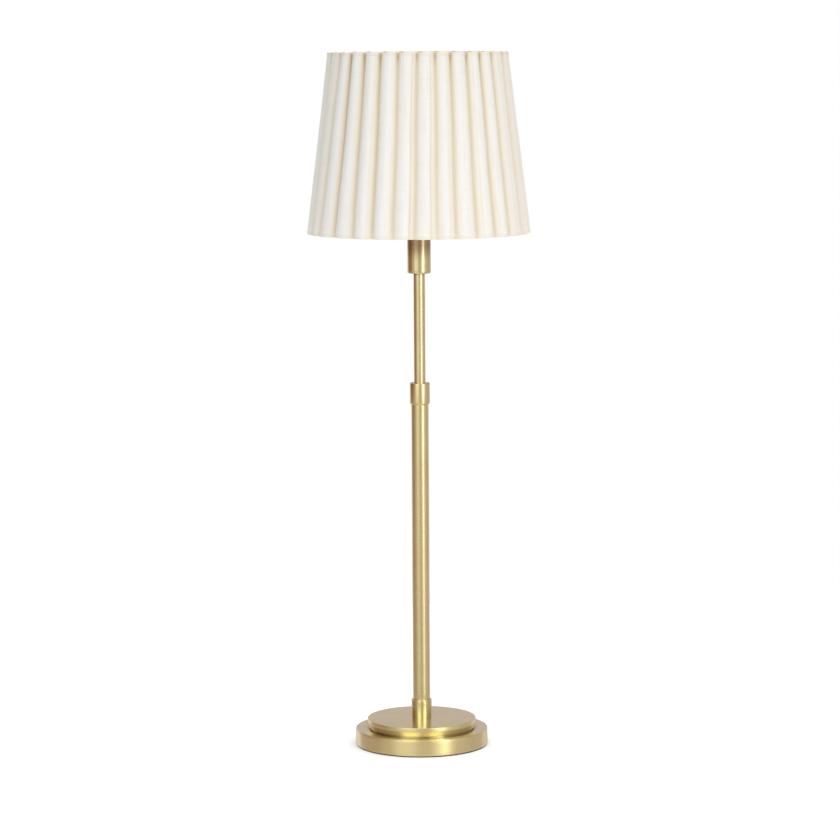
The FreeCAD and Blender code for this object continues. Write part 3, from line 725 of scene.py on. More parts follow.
def placed(piece: Piece, matrix: Sequence[Sequence[float]]) -> Piece:
    """Turns and moves a piece's own points, so that its object stays at the origin.

    Args:
        piece: the piece.
        matrix: 3 x 4, a turn and then a shift in millimetres.

    Returns:
        The piece.
    """
    points = np.zeros(len(piece.data.vertices) * 3, np.float32)
    piece.data.vertices.foreach_get("co", points)
    rows = np.array(matrix)
    moved = points.reshape(-1, 3) @ rows[:, :3].T + rows[:, 3] * MM
    piece.data.vertices.foreach_set("co", moved.astype(np.float32).ravel())
    piece.data.update()
    return piece


def drilled(piece: Piece, radius: float, matrix: Sequence[Sequence[float]], segments: int) -> Piece:
    """Cuts a round hole, 20 mm long, into a closed piece.

    Args:
        piece: the piece, which keeps its name.
        radius: the hole's radius.
        matrix: carries the drill, which stands on the origin, to its place.
        segments: how many sides the hole has.

    Returns:
        The piece.
    """
    drill = placed(turned("drill", Section.box(0.0, radius, 0.0, 20.0), segments), matrix)
    cut = piece.modifiers.new("hole", "BOOLEAN")
    cut.operation = "DIFFERENCE"
    cut.solver = "EXACT"
    cut.object = drill
    bpy.context.view_layer.update()
    graph = bpy.context.evaluated_depsgraph_get()
    shape = piece.evaluated_get(graph)
    made = bpy.data.meshes.new_from_object(shape, preserve_all_data_layers=True, depsgraph=graph)
    piece.modifiers.clear()
    old, name = piece.data, piece.data.name
    piece.data = made
    bpy.data.meshes.remove(old)
    made.name = name
    bpy.data.objects.remove(drill)
    return piece


@dataclass
class Assembly:
    """What every sub-assembly needs: the finishes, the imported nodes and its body's name."""

    finishes: Finishes
    nodes: dict[str, Piece]
    body: str = "base"

    def show(self, piece: Piece, slot: str, *replaced: str, body: str | None = None) -> Piece:
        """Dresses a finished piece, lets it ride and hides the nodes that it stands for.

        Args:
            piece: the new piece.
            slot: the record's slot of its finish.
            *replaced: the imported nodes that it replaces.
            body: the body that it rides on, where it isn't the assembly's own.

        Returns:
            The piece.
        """
        self.finishes.dress(piece, slot)
        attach(piece, body or self.body)
        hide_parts(*replaced)
        LOG.info("%s: %d faces on %s", piece.name, len(piece.data.polygons), body or self.body)
        return piece

    def keep(self, slot: str, *names: str) -> None:
        """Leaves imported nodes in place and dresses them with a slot's finish.

        Args:
            slot: the record's slot of the finish.
            *names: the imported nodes.
        """
        for name in names:
            self.finishes.dress_node(self.nodes[name], slot)
            LOG.info("%s: packed node in %s", name, slot)


# ---------------------------------------------------------------- base

@dataclass
class Base(Assembly):
    """Felt pad, two turned discs, ballast, coupler and the lower tube."""

    pad_radius: float = 75.2
    pad_top: float = 1.2
    pad_edge: float = 0.35
    # waves of the pad's cut edge: how many go round, how high they are and where they start
    fray: tuple[Triple, ...] = ((7, 0.05, 0.4), (23, 0.04, 1.3), (61, 0.04, 0.0))
    plinth_radius: float = 75.7
    plinth_top: float = 19.1
    step_radius: float = 62.2
    step_top: float = 30.5
    step_gap: float = 1.6
    step_bulge_drop: float = 4.4
    step_foot_inset: float = 0.9
    step_neck_inset: float = 4.2
    wall: float = 1.6
    bore: float = 5.2
    inlet_radius: float = 4.3
    inlet_level: float = 9.2
    coupler_radius: float = 11.6
    coupler_top: float = 52.1
    coupler_bore: float = 9.85
    lip: float = 1.2
    groove: float = 0.7
    tube_radius: float = 9.8
    tube_bore: float = 8.6
    tube_bottom: float = 38.5
    tube_top: float = 412.0

    def felt(self) -> Piece:
        """Makes the pad: a disc whose cut edge waves by a tenth of a millimetre.

        Returns:
            The new piece.
        """

        def frayed(turn: Array, radius: Array, level: Array) -> Array:
            """Radial change near the rim, drawn in by the height of all waves together."""
            wave = sum(high * np.sin(count * turn + start) for count, high, start in self.fray)
            drawn_in = sum(high for _, high, _ in self.fray)
            return np.where(radius > self.pad_radius - 1, wave - drawn_in, 0.0)

        roundings = (0.0, self.pad_edge, self.pad_edge, 0.0)
        return turned("felt_pad_cut", Section.box(0.0, self.pad_radius, 0.0, self.pad_top, roundings),
                      360, frayed, 12.0)

    def plinth(self) -> Piece:
        """Makes the lower disc: a spun cap with a rounded top edge, a rolled foot and the cord's hole.

        Returns:
            The new piece.
        """
        inside = self.plinth_radius - self.wall
        section = Section([
            (self.bore, self.plinth_top, 0.2), (self.plinth_radius, self.plinth_top, 0.55),
            (self.plinth_radius, self.pad_top, 0.45), (inside, self.pad_top, 0.2),
            (inside, self.plinth_top - self.wall, 0.6), (self.bore, self.plinth_top - self.wall, 0.2),
        ])
        bare, run, most = 3.4, 4.2, 0.75

        def shaded_underneath(radius: Array, level: Array) -> Array:
            """Painted shade on the top, full under the step and fading towards the rim."""
            reach = (self.step_radius + bare - radius) / run
            return np.where(level > self.plinth_top - 0.01, most * reach.clip(0, 1), 0.0)

        cap = turned("plinth_turned", section, 288, step=3.0, grime=shaded_underneath)
        backwards = ((1, 0, 0, 0), (0, 0, 1, self.plinth_radius - 10), (0, -1, 0, self.inlet_level))
        return drilled(cap, self.inlet_radius, backwards, 48)

    def step(self) -> Piece:
        """Makes the upper disc: its wall bulges a little, turns in at the foot and stands on a thin neck.

        Returns:
            The new piece.
        """
        radius, top, under = self.step_radius, self.step_top, self.step_top - self.wall
        neck = radius - self.step_neck_inset
        foot = self.plinth_top + self.step_gap
        section = Section([
            (self.bore, top, 0.2), (radius - 0.05, top, 0.4), (radius, top - self.step_bulge_drop, 9.0),
            (radius - self.step_foot_inset, foot, 0.5), (neck, foot, 0.15), (neck, self.plinth_top, 0.0),
            (neck - self.wall, self.plinth_top, 0.0), (neck - self.wall, under, 0.6), (self.bore, under, 0.2),
        ], arc_steps=8)

        def shaded_underneath(radius: Array, level: Array) -> Array:
            """Painted shade in the gap under the wall."""
            return 0.35 * ((foot + 0.35 - level) / 0.4).clip(0, 1)

        return turned("step_turned", section, 288, grime=shaded_underneath)

    def coupler(self) -> Piece:
        """Makes the sleeve that carries the stem, with a lip above a fine groove.

        Returns:
            The new piece.
        """
        top, radius, slant = self.coupler_top, self.coupler_radius, 0.05
        groove_foot, deep = top - self.lip - self.groove, radius - self.groove
        section = Section([
            (self.bore, self.step_top, 0.0), (radius, self.step_top, 0.0), (radius, groove_foot, 0.12),
            (deep, groove_foot + slant, 0.1), (deep, top - self.lip - slant, 0.1),
            (radius, top - self.lip, 0.12), (radius, top, 0.25), (self.coupler_bore, top, 0.2),
            (self.coupler_bore, self.tube_bottom, 0.0), (self.bore, self.tube_bottom, 0.0),
        ], arc_steps=5)

        def shaded_below_groove(radius: Array, level: Array) -> Array:
            """A weaker painted shade on the sleeve below its groove."""
            return np.where((level < groove_foot) & (radius > radius.max() - 0.1), 0.34, 0.0)

        return turned("coupler_turned", section, step=3.0, grime=shaded_below_groove)

    def tube(self) -> Piece:
        """Makes the lower tube with broken edges.

        Returns:
            The new piece.
        """
        section = Section.box(self.tube_bore, self.tube_radius, self.tube_bottom, self.tube_top,
                              (0.1, 0.2, 0.2, 0.1), 3)
        return turned("lower_tube_drawn", section, step=24.0)

    def build(self) -> None:
        """Builds and dresses the base."""
        pad = self.show(self.felt(), "felt", "felt_pad")
        self.show(self.plinth(), "brushed_brass", "plinth_shell")
        self.show(self.step(), "brushed_brass", "step_shell")
        self.show(self.coupler(), "brushed_brass", "coupler")
        self.show(self.tube(), "satin_brass", "lower_tube")
        self.keep("grey_iron", "ballast")
        self.keep("zinc_steel", "spacer_bush", "lock_washer", "lock_nut", "base_pipe")
        self.keep("black_phenolic", "cord_bushing")
        self.keep("nylon", "collet")


# ---------------------------------------------------------------- stem and head

@dataclass
class Stem(Assembly):
    """Clamping collar, sliding bush and upper tube."""

    body: str = "collar"
    collar_radius: float = 11.35
    collar_top: float = 418.5
    collar_straight: float = 23.3
    collar_foot: float = 393.2
    hem_radius: float = 10.25
    hem_height: float = 0.8
    thread: float = 9.88
    lip_bore: float = 6.8
    lip_bottom: float = 416.8
    cone_height: float = 3.0
    cone_ledge: float = 1.4
    tube_radius: float = 6.5
    tube_bore: float = 4.9
    tube_bottom: float = 253.4
    tube_top: float = 543.4
    shadow: float = 1.6

    def collar(self) -> Piece:
        """Makes the collar: a straight sleeve that tapers to a thin hem, with a broken top edge.

        Returns:
            The new piece.
        """
        top, foot, radius = self.collar_top, self.collar_foot, self.collar_radius
        return turned("collar_turned", Section([
            (self.lip_bore, top, 0.3), (radius, top, 0.7), (radius, top - self.collar_straight, 0.3),
            (self.hem_radius, foot + self.hem_height, 0.1), (self.hem_radius, foot, 0.2),
            (self.thread, foot, 0.05), (self.thread, self.lip_bottom - self.cone_height, 0.0),
            (self.lip_bore + self.cone_ledge, self.lip_bottom, 0.0), (self.lip_bore, self.lip_bottom, 0.1),
        ]))

    def tube(self) -> Piece:
        """Makes the upper tube with broken edges.

        Returns:
            The new piece.
        """

        def shaded_underneath(radius: Array, level: Array) -> Array:
            """Painted shadow in the corner under the cup, which falls off as a bell curve."""
            return np.exp(-((self.tube_top - level) / self.shadow) ** 2)

        section = Section.box(self.tube_bore, self.tube_radius, self.tube_bottom, self.tube_top,
                              (0.1, 0.2, 0.1, 0.1), 3)
        return turned("upper_tube_drawn", section, 120, step=1.5, grime=shaded_underneath)

    def build(self) -> None:
        """Builds and dresses the stem."""
        self.show(self.collar(), "polished_brass", "collar_nut")
        self.show(self.tube(), "satin_brass", "upper_tube", body="head")
        self.keep("nylon", "guide_bush")
        self.keep("satin_brass", "stop_ring")
        self.keep("spring_steel", "retaining_clip")


@dataclass
class Head(Assembly):
    """Cup, lampholder and its turn knob."""

    body: str = "head"
    cup_radius: float = 13.25
    cup_bottom: float = 543.4
    cup_top: float = 597.4
    cup_wall: float = 1.0
    cup_floor: float = 1.6
    bore: float = 5.2
    neck_radius: float = 11.6
    neck_bottom: float = 551.5
    neck_bore: float = 8.0
    pipe_bore: float = 4.9
    neck_floor_top: float = 559.5
    chamber_floor: float = 600.4
    chamber_radius: float = 13.5
    carrier_bottom: float = 616.4
    carrier_top: float = 627.4
    holder_radius: float = 19.0
    holder_top: float = 650.6
    seat_radius: float = 14.1
    flange_radius: float = 24.0
    flange_bottom: float = 611.6
    flange_top: float = 614.4
    shell_bore: float = 13.3
    shell_wall: float = 0.5
    shell_top: float = 649.4
    knob_start: float = 20.5
    knob_length: float = 15.0
    knob_radius: float = 6.2
    knob_neck: float = 4.2
    knob_neck_length: float = 3.0
    knob_flutes: int = 12
    knob_flute_depth: float = 0.85
    shaft_level: float = 604.9
    shaft_radius: float = 1.6
    shaft_hole: float = 2.1

    def cup(self) -> Piece:
        """Makes the spun cup, rounded at its foot and rolled at its lip.

        Returns:
            The new piece.
        """
        inside = self.cup_radius - self.cup_wall
        floor = self.cup_bottom + self.cup_floor
        section = Section([
            (self.bore, self.cup_bottom, 0.2), (self.cup_radius, self.cup_bottom, 1.4),
            (self.cup_radius, self.cup_top, 0.4), (inside, self.cup_top, 0.4),
            (inside, floor, 0.4), (self.bore, floor, 0.2),
        ])
        clear, run, most = 8, 26, 0.75

        def shaded_near_lip(radius: Array, level: Array) -> Array:
            """Painted shade under the lampshade, strongest at the lip and fading down."""
            share = ((level - self.cup_bottom - clear) / run).clip(0, 1)
            return most * share * share * (3 - 2 * share)

        return turned("cup_spun", section, step=3.0, grime=shaded_near_lip)

    def holder(self) -> Piece:
        """Makes the moulded lampholder: neck, switch chamber, seat flange and a threaded socket wall.

        The thread is a ridge that climbs one pitch per turn: the radius drops by half its depth times
        one minus the cosine of level / pitch less the turn.
        """
        pitch, depth = 2.6, 0.7

        def thread(turn: Array, radius: Array, level: Array) -> Array:
            """Radial change of the ridge on the socket's outer wall, fading at both ends."""
            fade = within(level, self.flange_top + 1.0, self.holder_top - 2.0, 1.5, 1.5)
            wave = 0.5 * (1 - np.cos(2 * math.pi * level / pitch - turn))
            return np.where(radius > self.holder_radius - 0.2, -depth * wave * fade, 0.0)

        section = Section([
            (self.pipe_bore, self.neck_bottom, 0.2), (self.neck_radius, self.neck_bottom, 0.5),
            (self.neck_radius, self.cup_top, 0.2), (self.holder_radius, self.cup_top, 1.2),
            (self.holder_radius, self.flange_bottom, 0.5), (self.flange_radius, self.flange_bottom, 0.6),
            (self.flange_radius, self.flange_top, 0.6), (self.holder_radius, self.flange_top, 0.3),
            (self.holder_radius, self.holder_top, 0.8), (self.seat_radius, self.holder_top, 0.4),
            (self.seat_radius, self.carrier_bottom, 0.1), (self.chamber_radius, self.carrier_bottom, 0.1),
            (self.chamber_radius, self.chamber_floor, 0.5), (self.neck_bore, self.chamber_floor, 0.3),
            (self.neck_bore, self.neck_floor_top, 0.3), (self.pipe_bore, self.neck_floor_top, 0.1),
        ], arc_steps=4)
        body = turned("holder_moulded", section, relief=thread, step=0.45)
        sideways = ((0, 0, 1, self.neck_bore), (0, 1, 0, 0), (-1, 0, 0, self.shaft_level))
        return drilled(body, self.shaft_hole, sideways, 32)

    def shell(self) -> Piece:
        """Makes the screw shell: thin rolled brass whose both faces follow one rounded thread.

        Returns:
            The new piece.
        """
        pitch, depth = 3.62, 0.35

        def thread(turn: Array, radius: Array, level: Array) -> Array:
            """Radial change of the rolled thread, fading at both rims."""
            fade = within(level, self.carrier_top, self.shell_top - 1.2, 2.0, 2.0)
            return -depth * fade * 0.5 * (1 + np.cos(2 * math.pi * level / pitch - turn))

        section = Section.box(self.shell_bore, self.shell_bore + self.shell_wall, self.carrier_top,
                              self.shell_top, (0.1, 0.1, 0.2, 0.2), 3)
        return turned("screw_shell_rolled", section, relief=thread, step=0.4)

    def knob(self) -> Piece:
        """Makes the turn knob: a fluted barrel on a slim neck, bored from behind.

        The radius drops by the flute's depth, and the flutes run out before the domed end.
        """
        length, neck_end, wall = self.knob_length, self.knob_neck_length, 3.0

        def flutes(turn: Array, radius: Array, level: Array) -> Array:
            """Radial change of the flutes along the barrel."""
            groove = fluted(turn, self.knob_flutes, 10) * within(level, neck_end, length + 0.3, 0.8, 1.6)
            return np.where(radius > self.knob_neck + 0.6, -self.knob_flute_depth * groove, 0.0)

        section = Section([
            (0.0, length - wall, 0.0), (self.shaft_radius, length - wall, 0.0), (self.shaft_radius, 0.0, 0.1),
            (self.knob_neck, 0.0, 0.4), (self.knob_neck, neck_end, 0.3),
            (self.knob_radius, neck_end, 0.8), (self.knob_radius, length, 1.3), (0.0, length, 0.0),
        ], closed=False)
        barrel = turned("knob_moulded", section, 192, flutes, 0.9)
        return placed(barrel, ((0, 0, 1, self.knob_start), (0, 1, 0, 0), (-1, 0, 0, self.shaft_level)))

    def build(self) -> None:
        """Builds and dresses the head."""
        self.show(self.cup(), "polished_brass", "socket_cup")
        self.show(self.holder(), "black_phenolic", "holder_body")
        self.show(self.shell(), "contact_brass", "screw_shell")
        self.show(self.knob(), "black_phenolic", "switch_knob", body="switch")
        self.keep("zinc_steel", "head_pipe", "cup_washer", "cup_nut", "terminal_screws", "switch_shaft")
        self.keep("steatite", "contact_carrier")
        self.keep("contact_brass", "centre_contact")
        self.keep("black_phenolic", "switch_block")


# ---------------------------------------------------------------- shade

@dataclass
class Pleats:
    """The pleated cloth as one closed surface with two faces and rolled rims.

    At turn a and height z the outer face's radius is the crest's radius, which narrows evenly upwards,
    less the pleat's depth times its fold curve, which is one in a valley and nought on the crest.
    """

    bottom: float = 589.3
    height: float = 203.7
    bottom_radius: float = 127.0
    top_radius: float = 102.1
    pleats: int = 30
    first_valley_deg: float = -1.5
    depth_bottom: float = 5.1
    depth_top: float = 4.1
    thickness: float = 0.9
    inset: float = 0.3
    hem_height: float = 5.0
    top_hem_height: float = 3.2
    hem_swell: float = 0.35
    stitch_depth: float = 0.22
    steps_per_pleat: int = 24
    # the pleats listed here are pinned: for a valley's number from the middle of the front, the degrees that
    # it stands off an even division and its share of the depth, each at the foot and at the top
    pinned: tuple[tuple[int, float, float, float, float], ...] = (
        (-8, 0.0, 0.3, 0.80, 0.85), (-7, 0.4, 0.6, 0.62, 0.60), (-6, 0.2, 1.2, 0.40, 0.38),
        (-5, -2.1, 2.4, 0.55, 0.55), (-4, -0.6, 2.0, 1.06, 1.30), (-3, 0.6, 1.3, 0.96, 1.22),
        (-2, 0.5, 1.1, 1.04, 1.20), (-1, -0.1, 0.8, 0.82, 1.05), (0, -0.75, 0.8, 0.80, 1.00),
        (1, -1.2, 0.5, 0.66, 1.00), (2, -3.0, -1.3, 0.86, 1.12), (3, -3.1, -1.9, 0.86, 1.08),
        (4, -3.2, -3.2, 0.86, 1.12), (5, -4.1, -3.9, 0.72, 0.95), (6, -3.4, -3.0, 0.36, 0.38),
        (7, -1.6, -1.4, 0.62, 0.62), (8, -0.4, -0.4, 0.80, 0.85),
    )
    # thin pressed lines beside some valleys: the pleat's number, its place across the pleat and its strength
    creases: tuple[tuple[int, float, float], ...] = (
        (-5, 0.28, 0.35), (-4, 0.22, 0.25), (-3, 0.74, 0.25), (-1, 0.76, 0.6), (0, 0.72, 0.6), (1, 0.70, 0.4),
        (3, 0.30, 0.3), (4, 0.72, 0.3), (5, 0.45, 0.4), (6, 0.6, 0.4), (-6, 0.5, 0.35), (-7, 0.4, 0.35),
        (9, 0.7, 0.4), (12, 0.75, 0.5), (14, 0.26, 0.3), (17, 0.72, 0.45), (20, 0.3, 0.35),
    )
    crease_width: float = 0.035
    # what the hand leaves uneven: the seed, the valleys' shift in degrees, their least depth, how far they
    # wander on their way up, how far the crests puff, and how the top rim rises beside a valley and dips
    seed: int = 30
    shift_deg: float = 0.55
    least_share: float = 0.88
    wander_deg: float = 0.16
    puff: float = 0.25
    rim_rise: float = 0.75
    rim_dip: float = 0.35
    roundness: float = 1.75
    crest_power: float = 0.85
    valley_width: float = 0.06
    cut_length: float = field(default=0.0, init=False)

    def fold_curve(self, place: Array) -> Array:
        """Depth of the fold at a place within a pleat.

        One less (1 - |2 p - 1| ^ roundness) ^ power: a rounded crest between narrow valleys. In the
        last bit before a valley the curve is rounded off, so that the cloth turns and doesn't crease.

        Args:
            place: nought at a valley, one at the next.

        Returns:
            One in the valley, nought on the crest.
        """
        fine = np.linspace(0, 1, 1025)
        raw = 1 - (1 - np.abs(2 * fine - 1) ** self.roundness) ** self.crest_power
        width = int(self.valley_width * len(fine)) * 2 + 1
        window = np.hanning(width + 2)[1:-1]
        padded = np.concatenate([raw[-width // 2:-1], raw, raw[1:width // 2 + 1]])
        smooth = np.convolve(padded, window / window.sum(), "same")[width // 2:width // 2 + len(fine)]
        smooth = (smooth - smooth.min()) / (smooth.max() - smooth.min())
        return np.interp(place % 1.0, fine, smooth)

    def levels(self) -> Array:
        """Heights of the outer face's rows, close together in the hems.

        Returns:
            Millimetres above the cloth's foot.
        """
        hem = np.array([0.25, 0.7, 1.4, 2.4, 3.4, 4.2, 4.7, 5.1, 5.6, 6.4, 8.0])
        head = np.array([0.25, 0.6, 1.2, 2.0, 2.7, 3.1, 3.5, 4.0, 4.8, 6.5])
        middle = np.linspace(12.0, self.height - 11.0, 26)
        return np.concatenate([hem, middle, (self.height - head)[::-1]])

    def swell(self, level: Array) -> Array:
        """How far the hems stand proud: full at the rims, with a furrow at the stitches.

        Args:
            level: heights above the cloth's foot.

        Returns:
            Millimetres at each height.
        """
        foot = 1 / (1 + np.exp((level - self.hem_height) * 5))
        head = 1 / (1 + np.exp((self.height - self.top_hem_height - level) * 5))
        stitch = np.exp(-((level - self.hem_height + 1.2) / 0.35) ** 2)
        stitch += np.exp(-((self.height - self.top_hem_height + 0.8 - level) / 0.3) ** 2)
        return self.hem_swell * (foot + head) - self.stitch_depth * stitch

    def build(self) -> Piece:
        """Works out the cloth's points and marks, and the length of its pleated line.

        Rows go up the outer face and down the inner one; columns go round. Between two valleys a
        column's shift and depth ease from those of the one to those of the other.

        Returns:
            The cloth's object.
        """
        rng = np.random.default_rng(self.seed)
        outer = self.levels()
        inner = np.concatenate([[self.height - 0.25], np.linspace(self.height - 2.0, 2.0, 22), [0.25]])
        level = np.concatenate([outer, [self.height - 0.02], inner, [0.02]])[:, None]
        inward = np.concatenate([np.zeros_like(outer), [0.5], np.ones_like(inner), [0.5]])[:, None]
        foot_shift, head_shift = rng.normal(0, self.shift_deg, (2, self.pleats))
        foot_share, head_share = rng.uniform(self.least_share, 1.0, (2, self.pleats))
        for number, *values in self.pinned:
            foot_shift[number], head_shift[number], foot_share[number], head_share[number] = values
        phase = rng.uniform(0, 2 * math.pi, self.pleats)
        share = level / self.height
        count = np.arange(self.pleats * self.steps_per_pleat) / self.steps_per_pleat
        valley = np.floor(count).astype(int)
        part = count - valley
        ease = part * part * (3 - 2 * part)

        def eased(foot: Array, head: Array, extra: Array | float = 0.0) -> Array:
            """Values of the valleys, from foot to head, carried to every row and column."""
            values = foot * (1 - share) + head * share + extra
            left, right = values[:, valley], values[:, (valley + 1) % self.pleats]
            return left + (right - left) * ease

        wander = self.wander_deg * np.sin(2 * math.pi * share * 1.3 + phase)
        shift = eased(foot_shift, head_shift, wander)
        turn = np.radians(self.first_valley_deg + count * 360 / self.pleats + shift)
        scale = eased(foot_share, head_share)
        fold = self.fold_curve(part) * np.ones_like(share)
        depth = (self.depth_bottom + (self.depth_top - self.depth_bottom) * share) * scale.clip(0, 1.02)
        crest = self.bottom_radius + (self.top_radius - self.bottom_radius) * share
        slack = self.puff * np.sin(math.pi * share) * np.sin(phase[valley] + 3 * share)
        pressed = sum(
            strength * (valley == number % self.pleats) * np.exp(-((part - middle) / self.crease_width) ** 2)
            for number, middle, strength in self.creases
        )
        proud = self.swell(level) * (1 - 2 * inward).clip(0, 1) * 0.8
        radius = crest - fold * depth - inward * self.thickness - 0.5 * pressed
        radius += (1 - fold) * slack * (inward == 0) + proud - self.inset
        scallop = self.rim_rise * np.exp(-((part - 0.11) / 0.07) ** 2) - self.rim_dip * fold
        height = level + scallop * np.exp(-(self.height - level) / 3)
        grid = np.stack([radius * np.sin(turn), -radius * np.cos(turn), self.bottom + height], -1)
        middle_row = grid[len(outer) // 2]
        run = np.linalg.norm(np.diff(middle_row, axis=0, append=middle_row[:1]), axis=1)
        across = np.concatenate([[0], np.cumsum(run)])
        self.cut_length = float(across[-1])
        uv = np.stack(np.meshgrid(np.append(level, level[0]), across, indexing="ij"), -1)[..., ::-1]
        hem = (self.swell(level) / self.hem_swell).clip(0, 1) * np.ones_like(fold)
        # where the pleats lie flat a creamier tone is painted on, as painted shade
        creamier_tone = 0.55 * (1 - scale).clip(0, 1)
        # painted shade beside the valleys, strongest near the top rim
        opened = 0.55 * np.exp(-(self.height - level) / 7) * np.exp(-(np.minimum(part, 1 - part) / 0.13) ** 2)
        # the fold mark is painted shade: tan in the valleys, along the pressed lines and near the top rim,
        # with the creamier tone where pleats lie flat
        marks = {"fold": fold * scale + creamier_tone + opened + pressed, "hem": hem, "inside": inward * (1 - hem)}
        return surface("shade_linen", grid, True, uv, marks, 60.0)


@dataclass
class Shade(Assembly):
    """Pleated linen on a white wire frame, with the fitter and the ring that screws it down."""

    body: str = "shade"
    pleats: Pleats = field(default_factory=Pleats)
    ring_inset: float = 4.0
    ring_wire: float = 1.25
    ring_sides: int = 20
    upright_wire: float = 1.1
    uprights: int = 6
    arm_wire: float = 1.6
    arms: int = 3
    arm_bow: float = 1.2
    weld_gap: float = 0.1
    cloth_gap: float = 0.3
    cad_depth_bottom: float = 5.2
    cad_depth_top: float = 4.2
    fitter_radius: float = 26.0
    fitter_bore: float = 19.6
    fitter_bottom: float = 614.6
    fitter_top: float = 616.2
    screw_radius: float = 25.0
    screw_bore: float = 19.08
    screw_bottom: float = 616.4
    screw_top: float = 624.4
    screw_flutes: int = 24
    screw_flute_depth: float = 1.1

    def frame_radius(self, level: float | Array, wire_radius: float) -> float | Array:
        """Radius at which a wire lies just inside the valleys.

        Args:
            level: one level or several.
            wire_radius: the wire's own radius.

        Returns:
            The radius at each level.
        """
        cloth = self.pleats
        share = (level - cloth.bottom) / cloth.height
        crest = cloth.bottom_radius + (cloth.top_radius - cloth.bottom_radius) * share
        depth = self.cad_depth_bottom + (self.cad_depth_top - self.cad_depth_bottom) * share
        return crest - depth - cloth.thickness - self.cloth_gap - wire_radius

    def ring(self, name: str, level: float) -> Piece:
        """Makes a wire ring: a circle of the wire's radius carried round the axis.

        Args:
            name: the ring's name.
            level: the level of its middle.

        Returns:
            The ring.
        """
        radius, size = self.frame_radius(level, self.ring_wire), self.ring_wire
        angles = np.arange(self.ring_sides) * 2 * math.pi / self.ring_sides
        circle = [(radius + size * math.cos(angle), level + size * math.sin(angle), 0.0) for angle in angles]
        return turned(name, Section(circle), 240)

    def upright_wires(self, low: float, high: float) -> Piece:
        """Makes the straight wires from ring to ring, under the crests.

        Args:
            low: the bottom ring's level.
            high: the top ring's level.

        Returns:
            The wires as one piece.
        """
        clear = self.ring_wire + self.weld_gap
        first = self.pleats.first_valley_deg + 180 / self.pleats.pleats
        level = np.linspace(low + clear, high - clear, 9)
        radius = self.frame_radius(level, self.upright_wire)
        turns = [math.radians(first + 360 / self.uprights * number) for number in range(self.uprights)]
        runs = [np.stack([radius * math.sin(turn), -radius * math.cos(turn), level], -1) for turn in turns]
        return wire("upright_wires", runs, self.upright_wire, self.upright_wire * 1.06)

    def arm_wires(self, low: float) -> Piece:
        """Makes the three arms from the fitter down to the bottom ring, bowed a little below the straight.

        Args:
            low: the bottom ring's level.

        Returns:
            The arms as one piece.
        """
        start_radius = self.fitter_radius + self.weld_gap + self.arm_wire / 2
        end_radius = self.frame_radius(low, self.ring_wire) - self.ring_wire - self.weld_gap
        start_level = (self.fitter_bottom + self.fitter_top) / 2
        share = np.linspace(0, 1, 25)
        radius = start_radius + (end_radius - start_radius) * share
        level = start_level + (low - start_level) * share - self.arm_bow * np.sin(math.pi * share)
        turns = [math.radians(90 + 360 / self.arms * number) for number in range(self.arms)]
        runs = [np.stack([radius * math.cos(turn), radius * math.sin(turn), level], -1) for turn in turns]
        return wire("fitter_arm_wires", runs, self.arm_wire, self.arm_wire * 1.05)

    def fitter(self) -> Piece:
        """Makes the flat ring with rolled edges.

        Returns:
            The new piece.
        """
        section = Section.box(self.fitter_bore, self.fitter_radius, self.fitter_bottom, self.fitter_top,
                              (0.4, 0.5, 0.5, 0.4), 4)
        return turned("fitter_flat_ring", section)

    def screw_ring(self) -> Piece:
        """Makes the fluted ring: the radius drops in each flute.

        Returns:
            The new piece.
        """

        def flutes(turn: Array, radius: Array, level: Array) -> Array:
            """Radial change of the flutes on the outer wall."""
            groove = self.screw_flute_depth * fluted(turn, self.screw_flutes, 8)
            return np.where(radius > self.screw_radius - 1.6, -groove, 0.0)

        section = Section.box(self.screw_bore, self.screw_radius, self.screw_bottom, self.screw_top,
                              (0.3, 0.8, 0.8, 0.6), 5)
        return turned("screw_ring_moulded", section, 288, flutes, 1.2)

    def build(self) -> None:
        """Builds and dresses the shade."""
        low = self.pleats.bottom + self.ring_inset
        high = self.pleats.bottom + self.pleats.height - self.ring_inset
        cloth = self.show(self.pleats.build(), "linen", "shade_cloth")
        foot = self.show(self.ring("bottom_ring_wire", low), "white_wire", "bottom_wire_ring")
        head = self.show(self.ring("top_ring_wire", high), "white_wire", "top_wire_ring")
        self.show(self.upright_wires(low, high), "white_wire", "frame_uprights")
        self.show(self.arm_wires(low), "white_wire", "fitter_arms")
        self.show(self.fitter(), "white_wire", "fitter_ring")
        self.show(self.screw_ring(), "black_phenolic", "shade_screw_ring", body="screw_ring")


# ---------------------------------------------------------------- studio

@dataclass(frozen=True)
class Panel:
    """A soft panel far off: where it stands, how wide and how bright it is; a dark flag takes light away."""

    turn_deg: float
    half_width_deg: float
    feather_deg: float
    low_deg: float
    high_deg: float
    radiance: float
    tint: str = "f3fffd"


